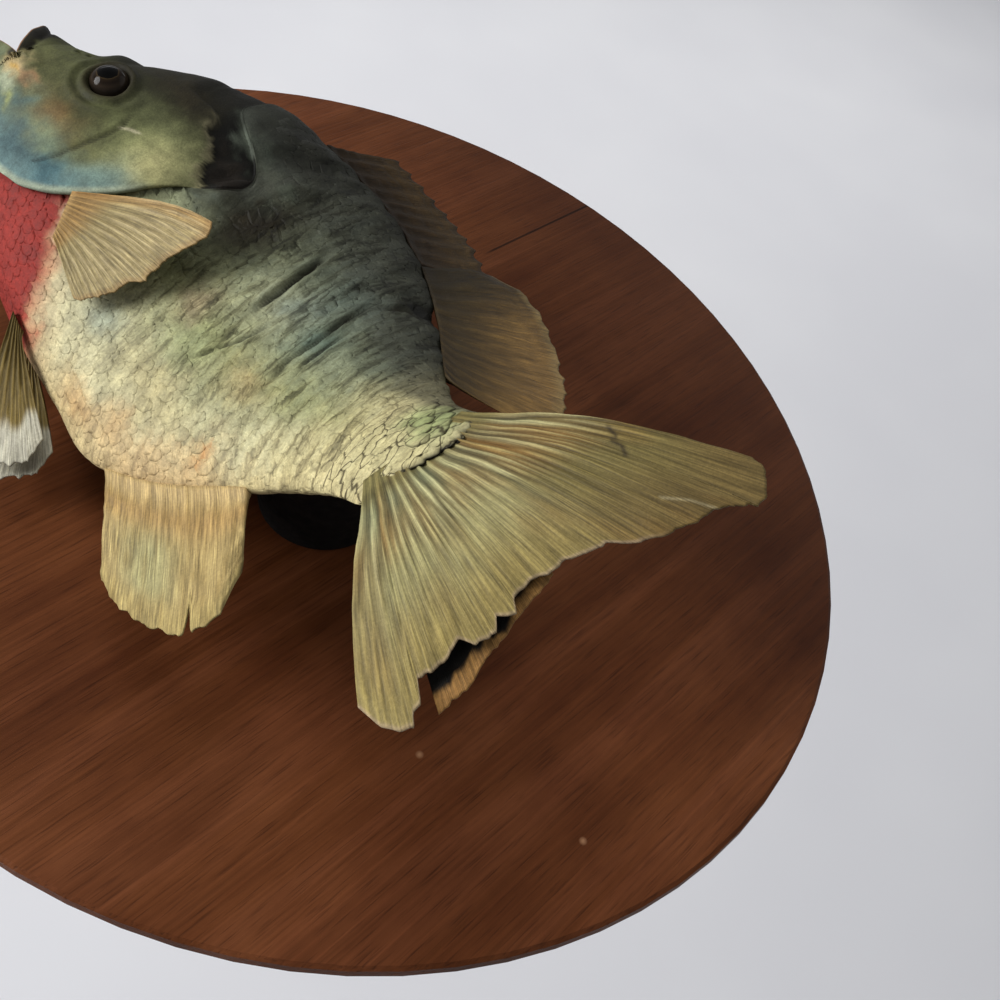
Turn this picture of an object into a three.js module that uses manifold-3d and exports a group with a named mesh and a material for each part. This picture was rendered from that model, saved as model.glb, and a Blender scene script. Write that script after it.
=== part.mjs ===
// A bluegill sunfish trophy: a painted skin mount on an oval wooden wall board.
// Millimetres. X runs from the snout's end of the board to the tail's, Z is up, and
// the wall is the plane y = 0, so the fish's left side looks out along -Y.
// Places on the fish are fractions of its standard length: s runs along the spine from
// the upper lip to the tail's root, v is height over the spine, and w is sideways,
// positive on the left side.
import * as THREE from 'three';
import { mergeVertices } from 'three/addons/utils/BufferGeometryUtils.js';
import Module from 'manifold-3d';

const wasm = await Module();
wasm.setup();

// ---- Driving dimensions ----
const STANDARD_LENGTH = 160;
const GAP = 0.3;
const BOARD_HALF_LENGTH = 126.5;
const BOARD_HALF_HEIGHT = 114.5;
const BOARD_THICKNESS = 6;
const BOARD_ARRIS = 1.2;
const BOARD_BACK_BEVEL = 2.2;
const EYE_RADIUS = 4.6;
const EYE_SUNK = 3.1;
const FIN_MEMBRANE = 0.56;
const GILL_PLATE = 1.3;

// How the fish stands on its board: mid-body point over the board's front, and its turns.
const FISH_PLACE = [-19.3, -24.4, -16.5];
const ROLL_OUT = 0.2636;
const NOSE_UP = 0.1042;
const YAW = -0.0165;

// The spine's sideways bends in radians, each over its own stretch of s.
const NECK_BEND = 0.0746;
const TRUNK_BEND = 0.6744;
const TAIL_BEND = 0.4239;
const TAIL_FIN_BEND = -0.6554;
const TAIL_TWIST = 0.0673;
const SPINE_ARCH = 0.0573;

// Where the flesh is parted into nodes.
const HEAD_END = 0.3;
const TRUNK_END = 0.8;
const FLESH_END = 1.035;

// ---- The body's profile: [s, fraction of the standard length] ----
const BACK_LINE = [
  [-0.026, -0.07], [-0.012, -0.034], [0, -0.008], [0.012, 0.007], [0.035, 0.016], [0.08, 0.044],
  [0.12, 0.081], [0.15, 0.12], [0.18, 0.16], [0.22, 0.2], [0.26, 0.226], [0.3, 0.244],
  [0.4, 0.26], [0.5, 0.263], [0.6, 0.241], [0.7, 0.199], [0.8, 0.146], [0.9, 0.097],
  [0.96, 0.084], [1.01, 0.083], [1.05, 0.085],
];
const BELLY_LINE = [
  [-0.026, -0.098], [-0.012, -0.108], [0.012, -0.117], [0.05, -0.128], [0.1, -0.143],
  [0.15, -0.163], [0.22, -0.197], [0.3, -0.232], [0.4, -0.2465], [0.5, -0.251], [0.6, -0.256],
  [0.7, -0.212], [0.8, -0.142], [0.9, -0.091], [0.96, -0.082], [1.01, -0.081], [1.05, -0.083],
];
const HALF_WIDTH = [
  [-0.026, 0.014], [0, 0.03], [0.03, 0.046], [0.08, 0.066], [0.15, 0.084], [0.22, 0.094],
  [0.3, 0.1], [0.4, 0.098], [0.5, 0.09], [0.6, 0.077], [0.7, 0.061], [0.8, 0.0455],
  [0.9, 0.031], [0.96, 0.024], [1.01, 0.018], [1.05, 0.014],
];

const smoothStep = (x, from, to) => THREE.MathUtils.smoothstep(x, from, to);

// A smooth curve through [x, y] points, with each slope taken from its neighbours.
function curveThrough(points) {
  const last = points.length - 1;
  const slope = (k) => {
    const a = points[Math.max(k - 1, 0)];
    const b = points[Math.min(k + 1, last)];
    return (b[1] - a[1]) / (b[0] - a[0]);
  };
  return (x) => {
    let k = 0;
    while (k < last - 1 && x > points[k + 1][0]) k += 1;
    const [x0, y0] = points[k];
    const [x1, y1] = points[k + 1];
    const span = x1 - x0;
    const t = THREE.MathUtils.clamp((x - x0) / span, 0, 1);
    const ease = t * t * (3 - 2 * t);
    const bulge = t * (1 - t) * ((1 - t) * slope(k) - t * slope(k + 1)) * span;
    return y0 + (y1 - y0) * ease + bulge;
  };
}

// Straight stretches through [t, a, b, ...] rows: gives the row's values at t.
function alongRows(rows) {
  return (t) => {
    let k = 0;
    while (k < rows.length - 2 && t > rows[k + 1][0]) k += 1;
    const part = THREE.MathUtils.clamp((t - rows[k][0]) / (rows[k + 1][0] - rows[k][0]), 0, 1);
    return rows[k].slice(1).map((value, i) => value + (rows[k + 1][i + 1] - value) * part);
  };
}

const backAt = curveThrough(BACK_LINE);
const bellyAt = curveThrough(BELLY_LINE);
const halfWidthAt = curveThrough(HALF_WIDTH);

// ---- The spine: a curve in the fish's own level plane, bent towards its left side ----
const SPINE_START = -0.1;
const SPINE_STEP = 0.0025;
const SPINE_COUNT = 620;

function spineAngle(s) {
  const neck = NECK_BEND * (1 - smoothStep(s, 0.05, 0.4));
  const trunk = TRUNK_BEND * (smoothStep(s, 0.2, 0.8) - 0.5);
  const tail = TAIL_BEND * smoothStep(s, 0.6, 1) + TAIL_FIN_BEND * smoothStep(s, 1, 1.25);
  return neck + trunk + tail;
}

function makeSpine() {
  const points = [];
  let x = 0;
  let y = 0;
  for (let k = 0; k < SPINE_COUNT; k += 1) {
    points.push([x, y]);
    const angle = spineAngle(SPINE_START + (k + 0.5) * SPINE_STEP);
    x += Math.cos(angle) * SPINE_STEP;
    y -= Math.sin(angle) * SPINE_STEP;
  }
  const middle = points[Math.round((0.5 - SPINE_START) / SPINE_STEP)];
  return points.map(([px, py]) => [px - middle[0], py - middle[1]]);
}

const spine = makeSpine();

// The point at (s, v, w) of the fish, in millimetres of the fish's own frame.
function fishPoint(s, v, w) {
  const place = (s - SPINE_START) / SPINE_STEP;
  const k = THREE.MathUtils.clamp(Math.floor(place), 0, SPINE_COUNT - 2);
  const part = place - k;
  const x = spine[k][0] + (spine[k + 1][0] - spine[k][0]) * part;
  const y = spine[k][1] + (spine[k + 1][1] - spine[k][1]) * part;
  const angle = spineAngle(s);
  const twist = TAIL_TWIST * smoothStep(s, 0.6, 1.1);
  const up = v * Math.cos(twist) - w * Math.sin(twist);
  const side = v * Math.sin(twist) + w * Math.cos(twist);
  return new THREE.Vector3(
    (x - Math.sin(angle) * side) * STANDARD_LENGTH,
    (y - Math.cos(angle) * side) * STANDARD_LENGTH,
    (up + SPINE_ARCH * (s - 0.5) ** 2) * STANDARD_LENGTH,
  );
}

// A point of the body's surface, at angle phi round the section: 0 is the left side and
// a quarter turn is the back. grow moves it out by so many millimetres.
function skinPoint(s, phi, grow = 0) {
  const extra = grow / STANDARD_LENGTH;
  const middle = (backAt(s) + bellyAt(s)) / 2;
  const halfHeight = (backAt(s) - bellyAt(s)) / 2 + extra;
  const side = Math.sign(Math.cos(phi)) * Math.abs(Math.cos(phi)) ** 1.15;
  return fishPoint(s, middle + halfHeight * Math.sin(phi), (halfWidthAt(s) + extra) * side);
}

// Half the body's width at height v of section s.
function widthAtHeight(s, v) {
  const middle = (backAt(s) + bellyAt(s)) / 2;
  const halfHeight = (backAt(s) - bellyAt(s)) / 2;
  const part = THREE.MathUtils.clamp((v - middle) / halfHeight, -1, 1);
  return halfWidthAt(s) * (1 - part * part) ** 0.575;
}

// ---- Mesh building ----
function geometryFrom(points, faces) {
  const geometry = new THREE.BufferGeometry();
  const positions = points.flatMap((p) => [p.x, p.y, p.z]);
  geometry.setAttribute('position', new THREE.Float32BufferAttribute(positions, 3));
  geometry.setIndex(faces.flat());
  return facingOut(mergeVertices(geometry, 1e-4));
}

function facingOut(geometry) {
  const position = geometry.attributes.position;
  const index = geometry.index.array;
  const corner = (i) => new THREE.Vector3().fromBufferAttribute(position, index[i]);
  let volume = 0;
  for (let i = 0; i < index.length; i += 3) {
    volume += corner(i).dot(corner(i + 1).cross(corner(i + 2)));
  }
  if (volume < 0) {
    for (let i = 0; i < index.length; i += 3) {
      [index[i + 1], index[i + 2]] = [index[i + 2], index[i + 1]];
    }
  }
  return geometry;
}

// A closed solid through a row of rings with the same count of points each.
function loft(rings) {
  const count = rings[0].length;
  const points = rings.flat();
  const faces = [];
  for (let r = 0; r < rings.length - 1; r += 1) {
    for (let k = 0; k < count; k += 1) {
      const a = r * count + k;
      const b = r * count + ((k + 1) % count);
      faces.push([a, b, b + count], [a, b + count, a + count]);
    }
  }
  for (const [ring, flip] of [[0, true], [rings.length - 1, false]]) {
    const centre = new THREE.Vector3();
    rings[ring].forEach((p) => centre.add(p));
    points.push(centre.divideScalar(count));
    const hub = points.length - 1;
    for (let k = 0; k < count; k += 1) {
      const a = ring * count + k;
      const b = ring * count + ((k + 1) % count);
      faces.push(flip ? [hub, b, a] : [hub, a, b]);
    }
  }
  return geometryFrom(points, faces);
}

// A thin closed blade. middle(u, r) gives its mid surface, u across the rays from 0 to 1
// and r from root to rim, and half(u, r) gives half its thickness in millimetres.
function blade(columns, rows, middle, half) {
  const front = [];
  const back = [];
  const nudge = 0.004;
  for (let r = 0; r <= rows; r += 1) {
    for (let c = 0; c <= columns; c += 1) {
      const u = c / columns;
      const t = r / rows;
      const across = middle(Math.min(u + nudge, 1), t).sub(middle(Math.max(u - nudge, 0), t));
      const along = middle(u, Math.min(t + nudge, 1)).sub(middle(u, Math.max(t - nudge, 0)));
      const out = across.cross(along).normalize().multiplyScalar(half(u, t));
      front.push(middle(u, t).add(out));
      back.push(middle(u, t).sub(out));
    }
  }
  const wide = columns + 1;
  const total = front.length;
  const faces = [];
  for (let r = 0; r < rows; r += 1) {
    for (let c = 0; c < columns; c += 1) {
      const a = r * wide + c;
      faces.push([a, a + 1, a + wide + 1], [a, a + wide + 1, a + wide]);
      const b = a + total;
      faces.push([b, b + wide + 1, b + 1], [b, b + wide, b + wide + 1]);
    }
  }
  const rim = [];
  for (let c = 0; c < columns; c += 1) rim.push([c, c + 1]);
  for (let r = 0; r < rows; r += 1) rim.push([r * wide + columns, (r + 1) * wide + columns]);
  for (let c = columns; c > 0; c -= 1) rim.push([rows * wide + c, rows * wide + c - 1]);
  for (let r = rows; r > 0; r -= 1) rim.push([r * wide, (r - 1) * wide]);
  for (const [a, b] of rim) faces.push([a, b + total, b], [a, a + total, b + total]);
  return geometryFrom(front.concat(back), faces);
}

function toSolid(geometry) {
  const bare = geometry.clone();
  bare.deleteAttribute('normal');
  bare.deleteAttribute('uv');
  const merged = mergeVertices(bare, 1e-4);
  return new wasm.Manifold(new wasm.Mesh({
    numProp: 3,
    vertProperties: Float32Array.from(merged.attributes.position.array),
    triVerts: Uint32Array.from(merged.index.array),
  }));
}

function fromSolid(solid) {
  const mesh = solid.getMesh();
  const geometry = new THREE.BufferGeometry();
  geometry.setAttribute('position', new THREE.BufferAttribute(mesh.vertProperties, 3));
  geometry.setIndex(new THREE.BufferAttribute(mesh.triVerts, 1));
  return geometry;
}

function named(name, geometry, color, roughness = 0.6) {
  geometry.computeVertexNormals();
  const mesh = new THREE.Mesh(geometry, new THREE.MeshStandardMaterial({ color, roughness }));
  mesh.name = name;
  return mesh;
}

// ---- Flesh ----
const RING_POINTS = 26;

function bodyRing(s, grow = 0) {
  const ring = [];
  for (let k = 0; k < RING_POINTS; k += 1) {
    ring.push(skinPoint(s, (k / RING_POINTS) * 2 * Math.PI, grow));
  }
  return ring;
}

function bodyStretch(from, to, steps, grow = 0) {
  const rings = [];
  for (let k = 0; k <= steps; k += 1) rings.push(bodyRing(from + ((to - from) * k) / steps, grow));
  return loft(rings);
}

// A prism on an (s, v) outline, as wide as the head and more, for cutting it. Its sides
// are swept back from the midline by so much of their distance from it.
function headCutter(outline, sweep = 0) {
  const reach = 0.14;
  const rings = [-1, -0.5, 0, 0.5, 1].map((side) => outline.map(
    ([s, v]) => fishPoint(s + sweep * Math.abs(side) * reach, v, side * reach),
  ));
  return toSolid(loft(rings));
}

// The lips' tips and the gape's depth on the midline, and the mouth's corner at the cheek.
const UPPER_LIP = [0.003, 0.004];
const GAPE_DEPTH = [0.028, -0.056];
const LOWER_LIP = [-0.02, -0.07];
const MOUTH_CORNER = [0.062, -0.056];
const JAW_HINGE = [0.128, -0.096];
const LIP_SWEEP = 0.7;

// The hollow of the open mouth: an oval throat that narrows backwards.
function mouthHollow() {
  const rings = [];
  for (let k = 0; k <= 7; k += 1) {
    const s = -0.045 + k * 0.021;
    const taper = Math.sqrt(Math.max(1 - ((s + 0.045) / 0.155) ** 2, 0.05));
    const ring = [];
    for (let j = 0; j < 20; j += 1) {
      const turn = (j / 20) * 2 * Math.PI;
      const v = -0.056 + 0.034 * taper * Math.sin(turn) - 0.1 * s;
      const half = Math.min(0.029, 0.6 * halfWidthAt(s)) * taper;
      ring.push(fishPoint(s, v, half * Math.cos(turn)));
    }
    rings.push(ring);
  }
  return toSolid(loft(rings));
}

const EYE_PLACE = { s: 0.1675, v: 0.0235 };

function eyeCentre(side) {
  const width = widthAtHeight(EYE_PLACE.s, EYE_PLACE.v) - EYE_SUNK / STANDARD_LENGTH;
  return fishPoint(EYE_PLACE.s, EYE_PLACE.v, side * width);
}

function ball(radius, centre, fine = 14) {
  const sphere = new THREE.SphereGeometry(radius, fine, fine / 2);
  sphere.deleteAttribute('normal');
  sphere.deleteAttribute('uv');
  sphere.rotateX(Math.PI / 2);
  sphere.translate(centre.x, centre.y, centre.z);
  return mergeVertices(sphere, 1e-4);
}

function headParts() {
  const stations = [-0.026, -0.018, -0.009, 0, 0.012, 0.03, 0.055, 0.08, 0.105, 0.13, 0.158,
    0.19, 0.225, 0.262, HEAD_END - GAP / STANDARD_LENGTH];
  const gape = headCutter([
    [-0.3, 0.06], [-0.004, 0.06], UPPER_LIP, GAPE_DEPTH, LOWER_LIP, [-0.3, -0.12],
  ], LIP_SWEEP);
  let whole = toSolid(loft(stations.map((s) => bodyRing(s)))).subtract(gape);
  whole = whole.subtract(mouthHollow());
  for (const side of [1, -1]) {
    whole = whole.subtract(toSolid(ball(EYE_RADIUS + GAP, eyeCentre(side))));
  }
  const below = headCutter([
    MOUTH_CORNER, JAW_HINGE, [0.17, -0.21], [0.1, -0.26], [-0.1, -0.2], [-0.1, -0.058],
  ]);
  const slit = GAP / STANDARD_LENGTH;
  const slitAndBelow = headCutter([
    [MOUTH_CORNER[0], MOUTH_CORNER[1] + slit], [JAW_HINGE[0] + slit, JAW_HINGE[1] + slit],
    [0.17 + slit * 1.3, -0.21], [0.1, -0.265], [-0.11, -0.2], [-0.11, -0.058],
  ]);
  return [
    named('head', fromSolid(whole.subtract(slitAndBelow)), 0x5c6142),
    named('lower_jaw', fromSolid(whole.intersect(below)), 0x8fa3a0),
  ];
}

function eyes() {
  return [['eye_left', 1], ['eye_right', -1]].map(
    ([name, side]) => named(name, ball(EYE_RADIUS, eyeCentre(side)), 0x17140f, 0.1),
  );
}

// ---- Gill covers: raised plates whose rear edge stands off the shoulder ----
// Rows of [share of the way up, front s, rear s, v], from the throat to the temple.
const GILL_ROWS = [
  [0, 0.155, 0.215, -0.155], [0.15, 0.165, 0.25, -0.132], [0.35, 0.18, 0.292, -0.102],
  [0.6, 0.2, 0.345, -0.022], [0.76, 0.21, 0.377, 0.036], [0.88, 0.22, 0.346, 0.074],
  [1, 0.225, 0.3, 0.104],
];
// The dark soft lobe behind the plate: [share up, front s, rear s, v].
const EAR_ROWS = [
  [0, 0.366, 0.379, 0.058], [0.3, 0.349, 0.4, 0.078], [0.6, 0.331, 0.402, 0.1],
  [0.85, 0.312, 0.378, 0.122], [1, 0.3, 0.335, 0.134],
];

function plate(rows, side, columns, steps, lift, half) {
  const rowAt = alongRows(rows);
  const middle = (u, r) => {
    const [front, rear, v] = rowAt(u);
    const s = front + (rear - front) * r;
    const off = lift(u, r) / STANDARD_LENGTH;
    return fishPoint(s, v * (1 + 1.2 * off), side * (widthAtHeight(s, v) + off));
  };
  return blade(columns, steps, middle, half);
}

function gillCovers() {
  const meshes = [];
  for (const [label, side] of [['left', 1], ['right', -1]]) {
    const coverLift = (u, r) => 1.5 + 0.9 * r + 0.5 * (1 - u);
    const coverHalf = (u, r) => (GILL_PLATE / 2) * (1 - 0.35 * (1 - r) ** 2);
    const cover = plate(GILL_ROWS, side, 12, 5, coverLift, coverHalf);
    meshes.push(named(`gill_cover_${label}`, cover, 0x737a4e));
    const ear = plate(EAR_ROWS, side, 6, 4, (u, r) => 1.1 + 1.4 * r * r, () => 0.4);
    meshes.push(named(`ear_flap_${label}`, ear, 0x26251f));
  }
  return meshes;
}

// ---- Fins ----
// Each fin: rows of [u, root s, root v, rim s, rim v], with its ray count, how many columns
// each ray has, its lean to the left side, its root's half thickness and how far the web
// between two rays is cut back.
const RAY_RELIEF = 0.22;

function fanBlade(fin) {
  const rowAt = alongRows(fin.rows);
  const columns = fin.rays * 2;
  const wave = (u) => Math.abs(Math.sin(u * fin.rays * Math.PI));
  const middle = (u, r) => {
    const [rootS, rootV, rimS, rimV] = rowAt(u);
    const reach = r * (1 - fin.notch * wave(u));
    const bow = Math.sin(Math.PI * r);
    const s = rootS + (rimS - rootS) * reach;
    const v = rootV + (rimV - rootV) * reach + (fin.bowTop * (1 - u) + fin.bowEnd * u) * bow;
    const w = fin.side + fin.lean * reach + fin.curl * reach * reach;
    return fishPoint(s, v, w + fin.ripple * Math.sin(u * 9) * reach);
  };
  const half = (u, r) => {
    const ray = RAY_RELIEF * (1 - wave(u)) * (1 - 0.5 * r);
    const root = fin.root * Math.max(1 - r / 0.16, 0) ** 1.6;
    return FIN_MEMBRANE / 2 + ray + root;
  };
  return blade(columns, fin.rowsAcross, middle, half);
}

const ROOT_GAP = 0.004;

// A row of a fin on the back, or under the belly where the rim lies below the spine.
function finRow(u, rootS, rimS, rimV) {
  const rootV = rimV > 0 ? backAt(rootS) + ROOT_GAP : bellyAt(rootS) - ROOT_GAP;
  return [u, rootS, rootV, rimS, rimV];
}

const PLAIN_FIN = {
  side: 0, lean: 0, curl: 0, ripple: 0.002, notch: 0, bowTop: 0, bowEnd: 0, root: 0.7,
};

const SPINY_DORSAL = {
  ...PLAIN_FIN,
  rays: 9,
  rowsAcross: 5,
  notch: 0.2,
  lean: -0.03,
  rows: [0, 0.25, 0.5, 0.75, 1].map((u) => {
    const s = 0.345 + 0.255 * u;
    return [u, s, backAt(s) + ROOT_GAP, s + 0.055 - 0.005 * u, backAt(s) + 0.086 - 0.016 * u];
  }),
};

const SOFT_DORSAL = {
  ...PLAIN_FIN,
  rays: 11,
  rowsAcross: 5,
  notch: 0.03,
  lean: -0.03,
  bowTop: 0.012,
  rows: [
    finRow(0, 0.622, 0.7, 0.322), finRow(0.2, 0.67, 0.79, 0.294), finRow(0.4, 0.72, 0.9, 0.234),
    finRow(0.6, 0.76, 1, 0.174), finRow(0.78, 0.795, 1.07, 0.128), finRow(0.9, 0.82, 1.075, 0.108),
    finRow(1, 0.84, 1.03, 0.104),
  ],
};

const ANAL = {
  ...PLAIN_FIN,
  rays: 10,
  rowsAcross: 4,
  notch: 0.04,
  lean: -0.035,
  rows: [
    finRow(0, 0.635, 0.755, -0.316), finRow(0.2, 0.675, 0.825, -0.318),
    finRow(0.4, 0.71, 0.885, -0.304), finRow(0.58, 0.74, 0.93, -0.284),
    finRow(0.66, 0.75, 0.895, -0.262), finRow(0.74, 0.76, 0.95, -0.268),
    finRow(0.9, 0.79, 0.95, -0.24), finRow(1, 0.81, 0.897, -0.196),
  ],
};

const TAIL_ROOT_S = FLESH_END + GAP / STANDARD_LENGTH;

function tailRow(u, rimS, rimV) {
  const rootV = THREE.MathUtils.lerp(backAt(FLESH_END) - 0.008, bellyAt(FLESH_END), u);
  return [u, TAIL_ROOT_S, rootV, rimS, rimV];
}

const TAIL = {
  ...PLAIN_FIN,
  rays: 17,
  rowsAcross: 5,
  notch: 0.012,
  ripple: 0.003,
  bowTop: -0.003,
  bowEnd: 0.006,
  root: 2.2,
  rows: [
    tailRow(0, 1.273, 0.183), tailRow(0.05, 1.288, 0.173), tailRow(0.11, 1.301, 0.153),
    tailRow(0.2, 1.287, 0.122), tailRow(0.29, 1.276, 0.09), tailRow(0.37, 1.264, 0.054),
    tailRow(0.43, 1.245, 0.034), tailRow(0.52, 1.237, -0.004), tailRow(0.6, 1.236, -0.036),
    tailRow(0.68, 1.254, -0.078), tailRow(0.74, 1.255, -0.101), tailRow(0.81, 1.244, -0.122),
    tailRow(0.88, 1.247, -0.153), tailRow(0.93, 1.262, -0.182), tailRow(0.975, 1.264, -0.213),
    tailRow(1, 1.222, -0.2155),
  ],
};

// The fin's torn lower lobe shows the stiff paper that it was glued to.
const TAIL_BACKING = {
  ...PLAIN_FIN,
  rays: 6,
  rowsAcross: 4,
  side: -0.011,
  curl: -0.004,
  root: 0,
  rows: [
    [0, 1.15, -0.01, 1.232, -0.015], [0.2, 1.15, -0.03, 1.242, -0.044],
    [0.4, 1.152, -0.052, 1.251, -0.074], [0.6, 1.155, -0.074, 1.261, -0.106],
    [0.8, 1.158, -0.096, 1.27, -0.14], [1, 1.162, -0.118, 1.275, -0.168],
  ],
};

// A paired fin: root line from one point to another, rim rows of [u, s, v, w].
function pairedFin(side, fin) {
  const rimAt = alongRows(fin.rim);
  const wave = (u) => Math.abs(Math.sin(u * fin.rays * Math.PI));
  const middle = (u, r) => {
    const rim = rimAt(u);
    const root = fin.rootFrom.map((value, i) => value + (fin.rootTo[i] - value) * u);
    const reach = r * (1 - fin.notch * wave(u));
    const bow = fin.bow * Math.sin(Math.PI * r);
    const [s, v, w] = root.map((value, i) => value + (rim[i] - value) * reach);
    const lift = fin.lift * (1 - u) ** 2 * Math.sin(Math.PI * r);
    return fishPoint(s, v + lift, side * (w + bow));
  };
  const half = (u, r) => {
    const root = fin.root * Math.max(1 - r / 0.14, 0) ** 1.6;
    return FIN_MEMBRANE / 2 + RAY_RELIEF * (1 - wave(u)) * (1 - 0.5 * r) + root;
  };
  return blade(fin.rays * 2, fin.rowsAcross, middle, half);
}

const PECTORAL = {
  rays: 12,
  rowsAcross: 4,
  notch: 0.02,
  bow: 0.006,
  lift: 0.022,
  root: 1.4,
  rootFrom: [0.304, -0.095, 0.106],
  rootTo: [0.34, -0.142, 0.092],
  rim: [
    [0, 0.49, 0.02, 0.142], [0.07, 0.505, 0.006, 0.141], [0.15, 0.499, -0.02, 0.132],
    [0.3, 0.494, -0.052, 0.121], [0.42, 0.492, -0.07, 0.117], [0.5, 0.5, -0.083, 0.114],
    [0.6, 0.478, -0.1, 0.108], [0.72, 0.474, -0.126, 0.1], [0.86, 0.462, -0.15, 0.094],
    [1, 0.445, -0.164, 0.09],
  ],
};

const PELVIC = {
  rays: 6,
  rowsAcross: 5,
  notch: 0.03,
  bow: 0.004,
  lift: 0,
  root: 0.8,
  rootFrom: [0.372, -0.236, 0.03],
  rootTo: [0.402, -0.242, 0.026],
  rim: [
    [0, 0.52, -0.366, 0.014], [0.25, 0.55, -0.354, 0.013], [0.5, 0.568, -0.334, 0.012],
    [0.75, 0.57, -0.311, 0.012], [1, 0.553, -0.283, 0.013],
  ],
};

function fins() {
  const ochre = 0x8a7a4a;
  return [
    named('dorsal_spiny', fanBlade(SPINY_DORSAL), 0x4b4a31),
    named('dorsal_soft', fanBlade(SOFT_DORSAL), 0x7c6c42),
    named('anal_fin', fanBlade(ANAL), ochre),
    named('tail_fin', fanBlade(TAIL), ochre),
    named('tail_fin_backing', fanBlade(TAIL_BACKING), 0x9b7a4b, 0.8),
    named('pectoral_left', pairedFin(1, PECTORAL), 0xb59c66),
    named('pectoral_right', pairedFin(-1, PECTORAL), 0xb59c66),
    named('pelvic_left', pairedFin(1, PELVIC), 0x6a6240),
    named('pelvic_right', pairedFin(-1, PELVIC), 0x6a6240),
  ];
}

// ---- Board and the block that stands the fish off it ----
function board() {
  const half = BOARD_HALF_LENGTH;
  const profile = [
    [0, 0], [half - BOARD_BACK_BEVEL, 0], [half - 0.4, BOARD_BACK_BEVEL],
    [half, BOARD_THICKNESS - 2 * BOARD_ARRIS], [half - 0.35, BOARD_THICKNESS - 0.55],
    [half - BOARD_ARRIS, BOARD_THICKNESS], [0, BOARD_THICKNESS],
  ];
  const disc = new THREE.LatheGeometry(profile.map(([r, y]) => new THREE.Vector2(r, y)), 80);
  disc.deleteAttribute('normal');
  disc.deleteAttribute('uv');
  disc.rotateX(Math.PI);
  disc.scale(1, 1, BOARD_HALF_HEIGHT / BOARD_HALF_LENGTH);
  return named('board', facingOut(mergeVertices(disc, 1e-4)), 0x5b3524, 0.45);
}

const BLOCK = { x: 17.5, z: -18, radius: 13.8, out: 22 };

function mountBlock(fishMatrix) {
  const round = new THREE.CylinderGeometry(BLOCK.radius, BLOCK.radius, BLOCK.out, 48);
  round.translate(BLOCK.x, -BOARD_THICKNESS - GAP - BLOCK.out / 2, BLOCK.z);
  const flank = bodyStretch(0.18, 0.82, 24, GAP);
  flank.applyMatrix4(fishMatrix);
  const cut = toSolid(round).subtract(toSolid(flank));
  const behind = cut.decompose().reduce(
    (a, b) => (b.boundingBox().max[1] > a.boundingBox().max[1] ? b : a),
  );
  return named('mount_block', fromSolid(behind), 0x1e1a17, 0.85);
}

// ---- Assembly ----
const fish = new THREE.Group();
fish.rotation.set(ROLL_OUT, NOSE_UP, YAW, 'YXZ');
fish.position.set(FISH_PLACE[0], FISH_PLACE[1] - BOARD_THICKNESS, FISH_PLACE[2]);
fish.updateMatrix();

fish.add(...headParts());
fish.add(...eyes());
fish.add(...gillCovers());
const slot = GAP / STANDARD_LENGTH;
fish.add(named('trunk', bodyStretch(HEAD_END, TRUNK_END - slot, 16), 0x8d8c6c));
fish.add(named('tail_stock', bodyStretch(TRUNK_END, FLESH_END, 9), 0x8d8c6c));
fish.add(...fins());

const group = new THREE.Group();
group.add(board());
group.add(mountBlock(fish.matrix));
group.add(fish);

export default group;
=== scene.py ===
import math

import bmesh
import bpy
import numpy as np
from mathutils import Matrix, Vector


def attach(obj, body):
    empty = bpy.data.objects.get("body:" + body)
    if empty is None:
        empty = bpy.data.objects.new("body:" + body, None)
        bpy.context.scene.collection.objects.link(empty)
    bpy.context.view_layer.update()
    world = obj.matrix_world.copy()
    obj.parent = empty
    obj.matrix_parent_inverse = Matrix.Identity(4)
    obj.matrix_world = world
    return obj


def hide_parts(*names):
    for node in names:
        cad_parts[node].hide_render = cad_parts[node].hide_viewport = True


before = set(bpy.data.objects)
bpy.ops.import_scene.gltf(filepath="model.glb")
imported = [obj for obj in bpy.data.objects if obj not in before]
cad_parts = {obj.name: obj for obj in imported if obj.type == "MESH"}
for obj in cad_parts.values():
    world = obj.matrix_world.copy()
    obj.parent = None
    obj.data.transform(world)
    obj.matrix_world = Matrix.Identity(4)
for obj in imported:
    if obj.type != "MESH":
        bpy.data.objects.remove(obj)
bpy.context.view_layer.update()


# ---------------------------------------------------------------- wall board
# An oval of thin, open-grained hardwood, stained dark red brown and given one thin
# coat of satin varnish. Its front edge is eased over, and it hangs flat on the wall.

def linear(hex_colour):
    """An sRGB hex colour as the linear RGBA that Blender works in."""
    values = [int(hex_colour[k:k + 2], 16) / 255 for k in (1, 3, 5)]
    return [v / 12.92 if v <= 0.04045 else ((v + 0.055) / 1.055) ** 2.4 for v in values] + [1]


def add(tree, kind, inputs=None, stops=(), **settings):
    """A new node with its settings. Each input is set to a value or to a hex colour, or is
    linked to a socket or to a node's first live output. Stops are a ramp's (place, hex) pairs."""
    node = tree.nodes.new(kind)
    for name, value in settings.items():
        setattr(node, name, value)
    for key, value in (inputs or {}).items():
        if isinstance(value, bpy.types.Node):
            value = next(socket for socket in value.outputs if socket.enabled)
        if isinstance(value, bpy.types.NodeSocket):
            tree.links.new(value, node.inputs[key])
        else:
            is_colour = isinstance(value, str) and value.startswith("#")
            node.inputs[key].default_value = linear(value) if is_colour else value
    for _ in stops[2:]:
        node.color_ramp.elements.new(0.5)
    for k, (place, colour) in enumerate(stops):
        node.color_ramp.elements[k].position = place
        node.color_ramp.elements[k].color = linear(colour)
    return node


def new_material(name):
    """An empty node material, its tree and the place on the object that its patterns read."""
    material = bpy.data.materials.new(name)
    material.use_nodes = True
    tree = material.node_tree
    tree.nodes.clear()
    return material, tree, add(tree, "ShaderNodeTexCoord").outputs["Object"]


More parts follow.
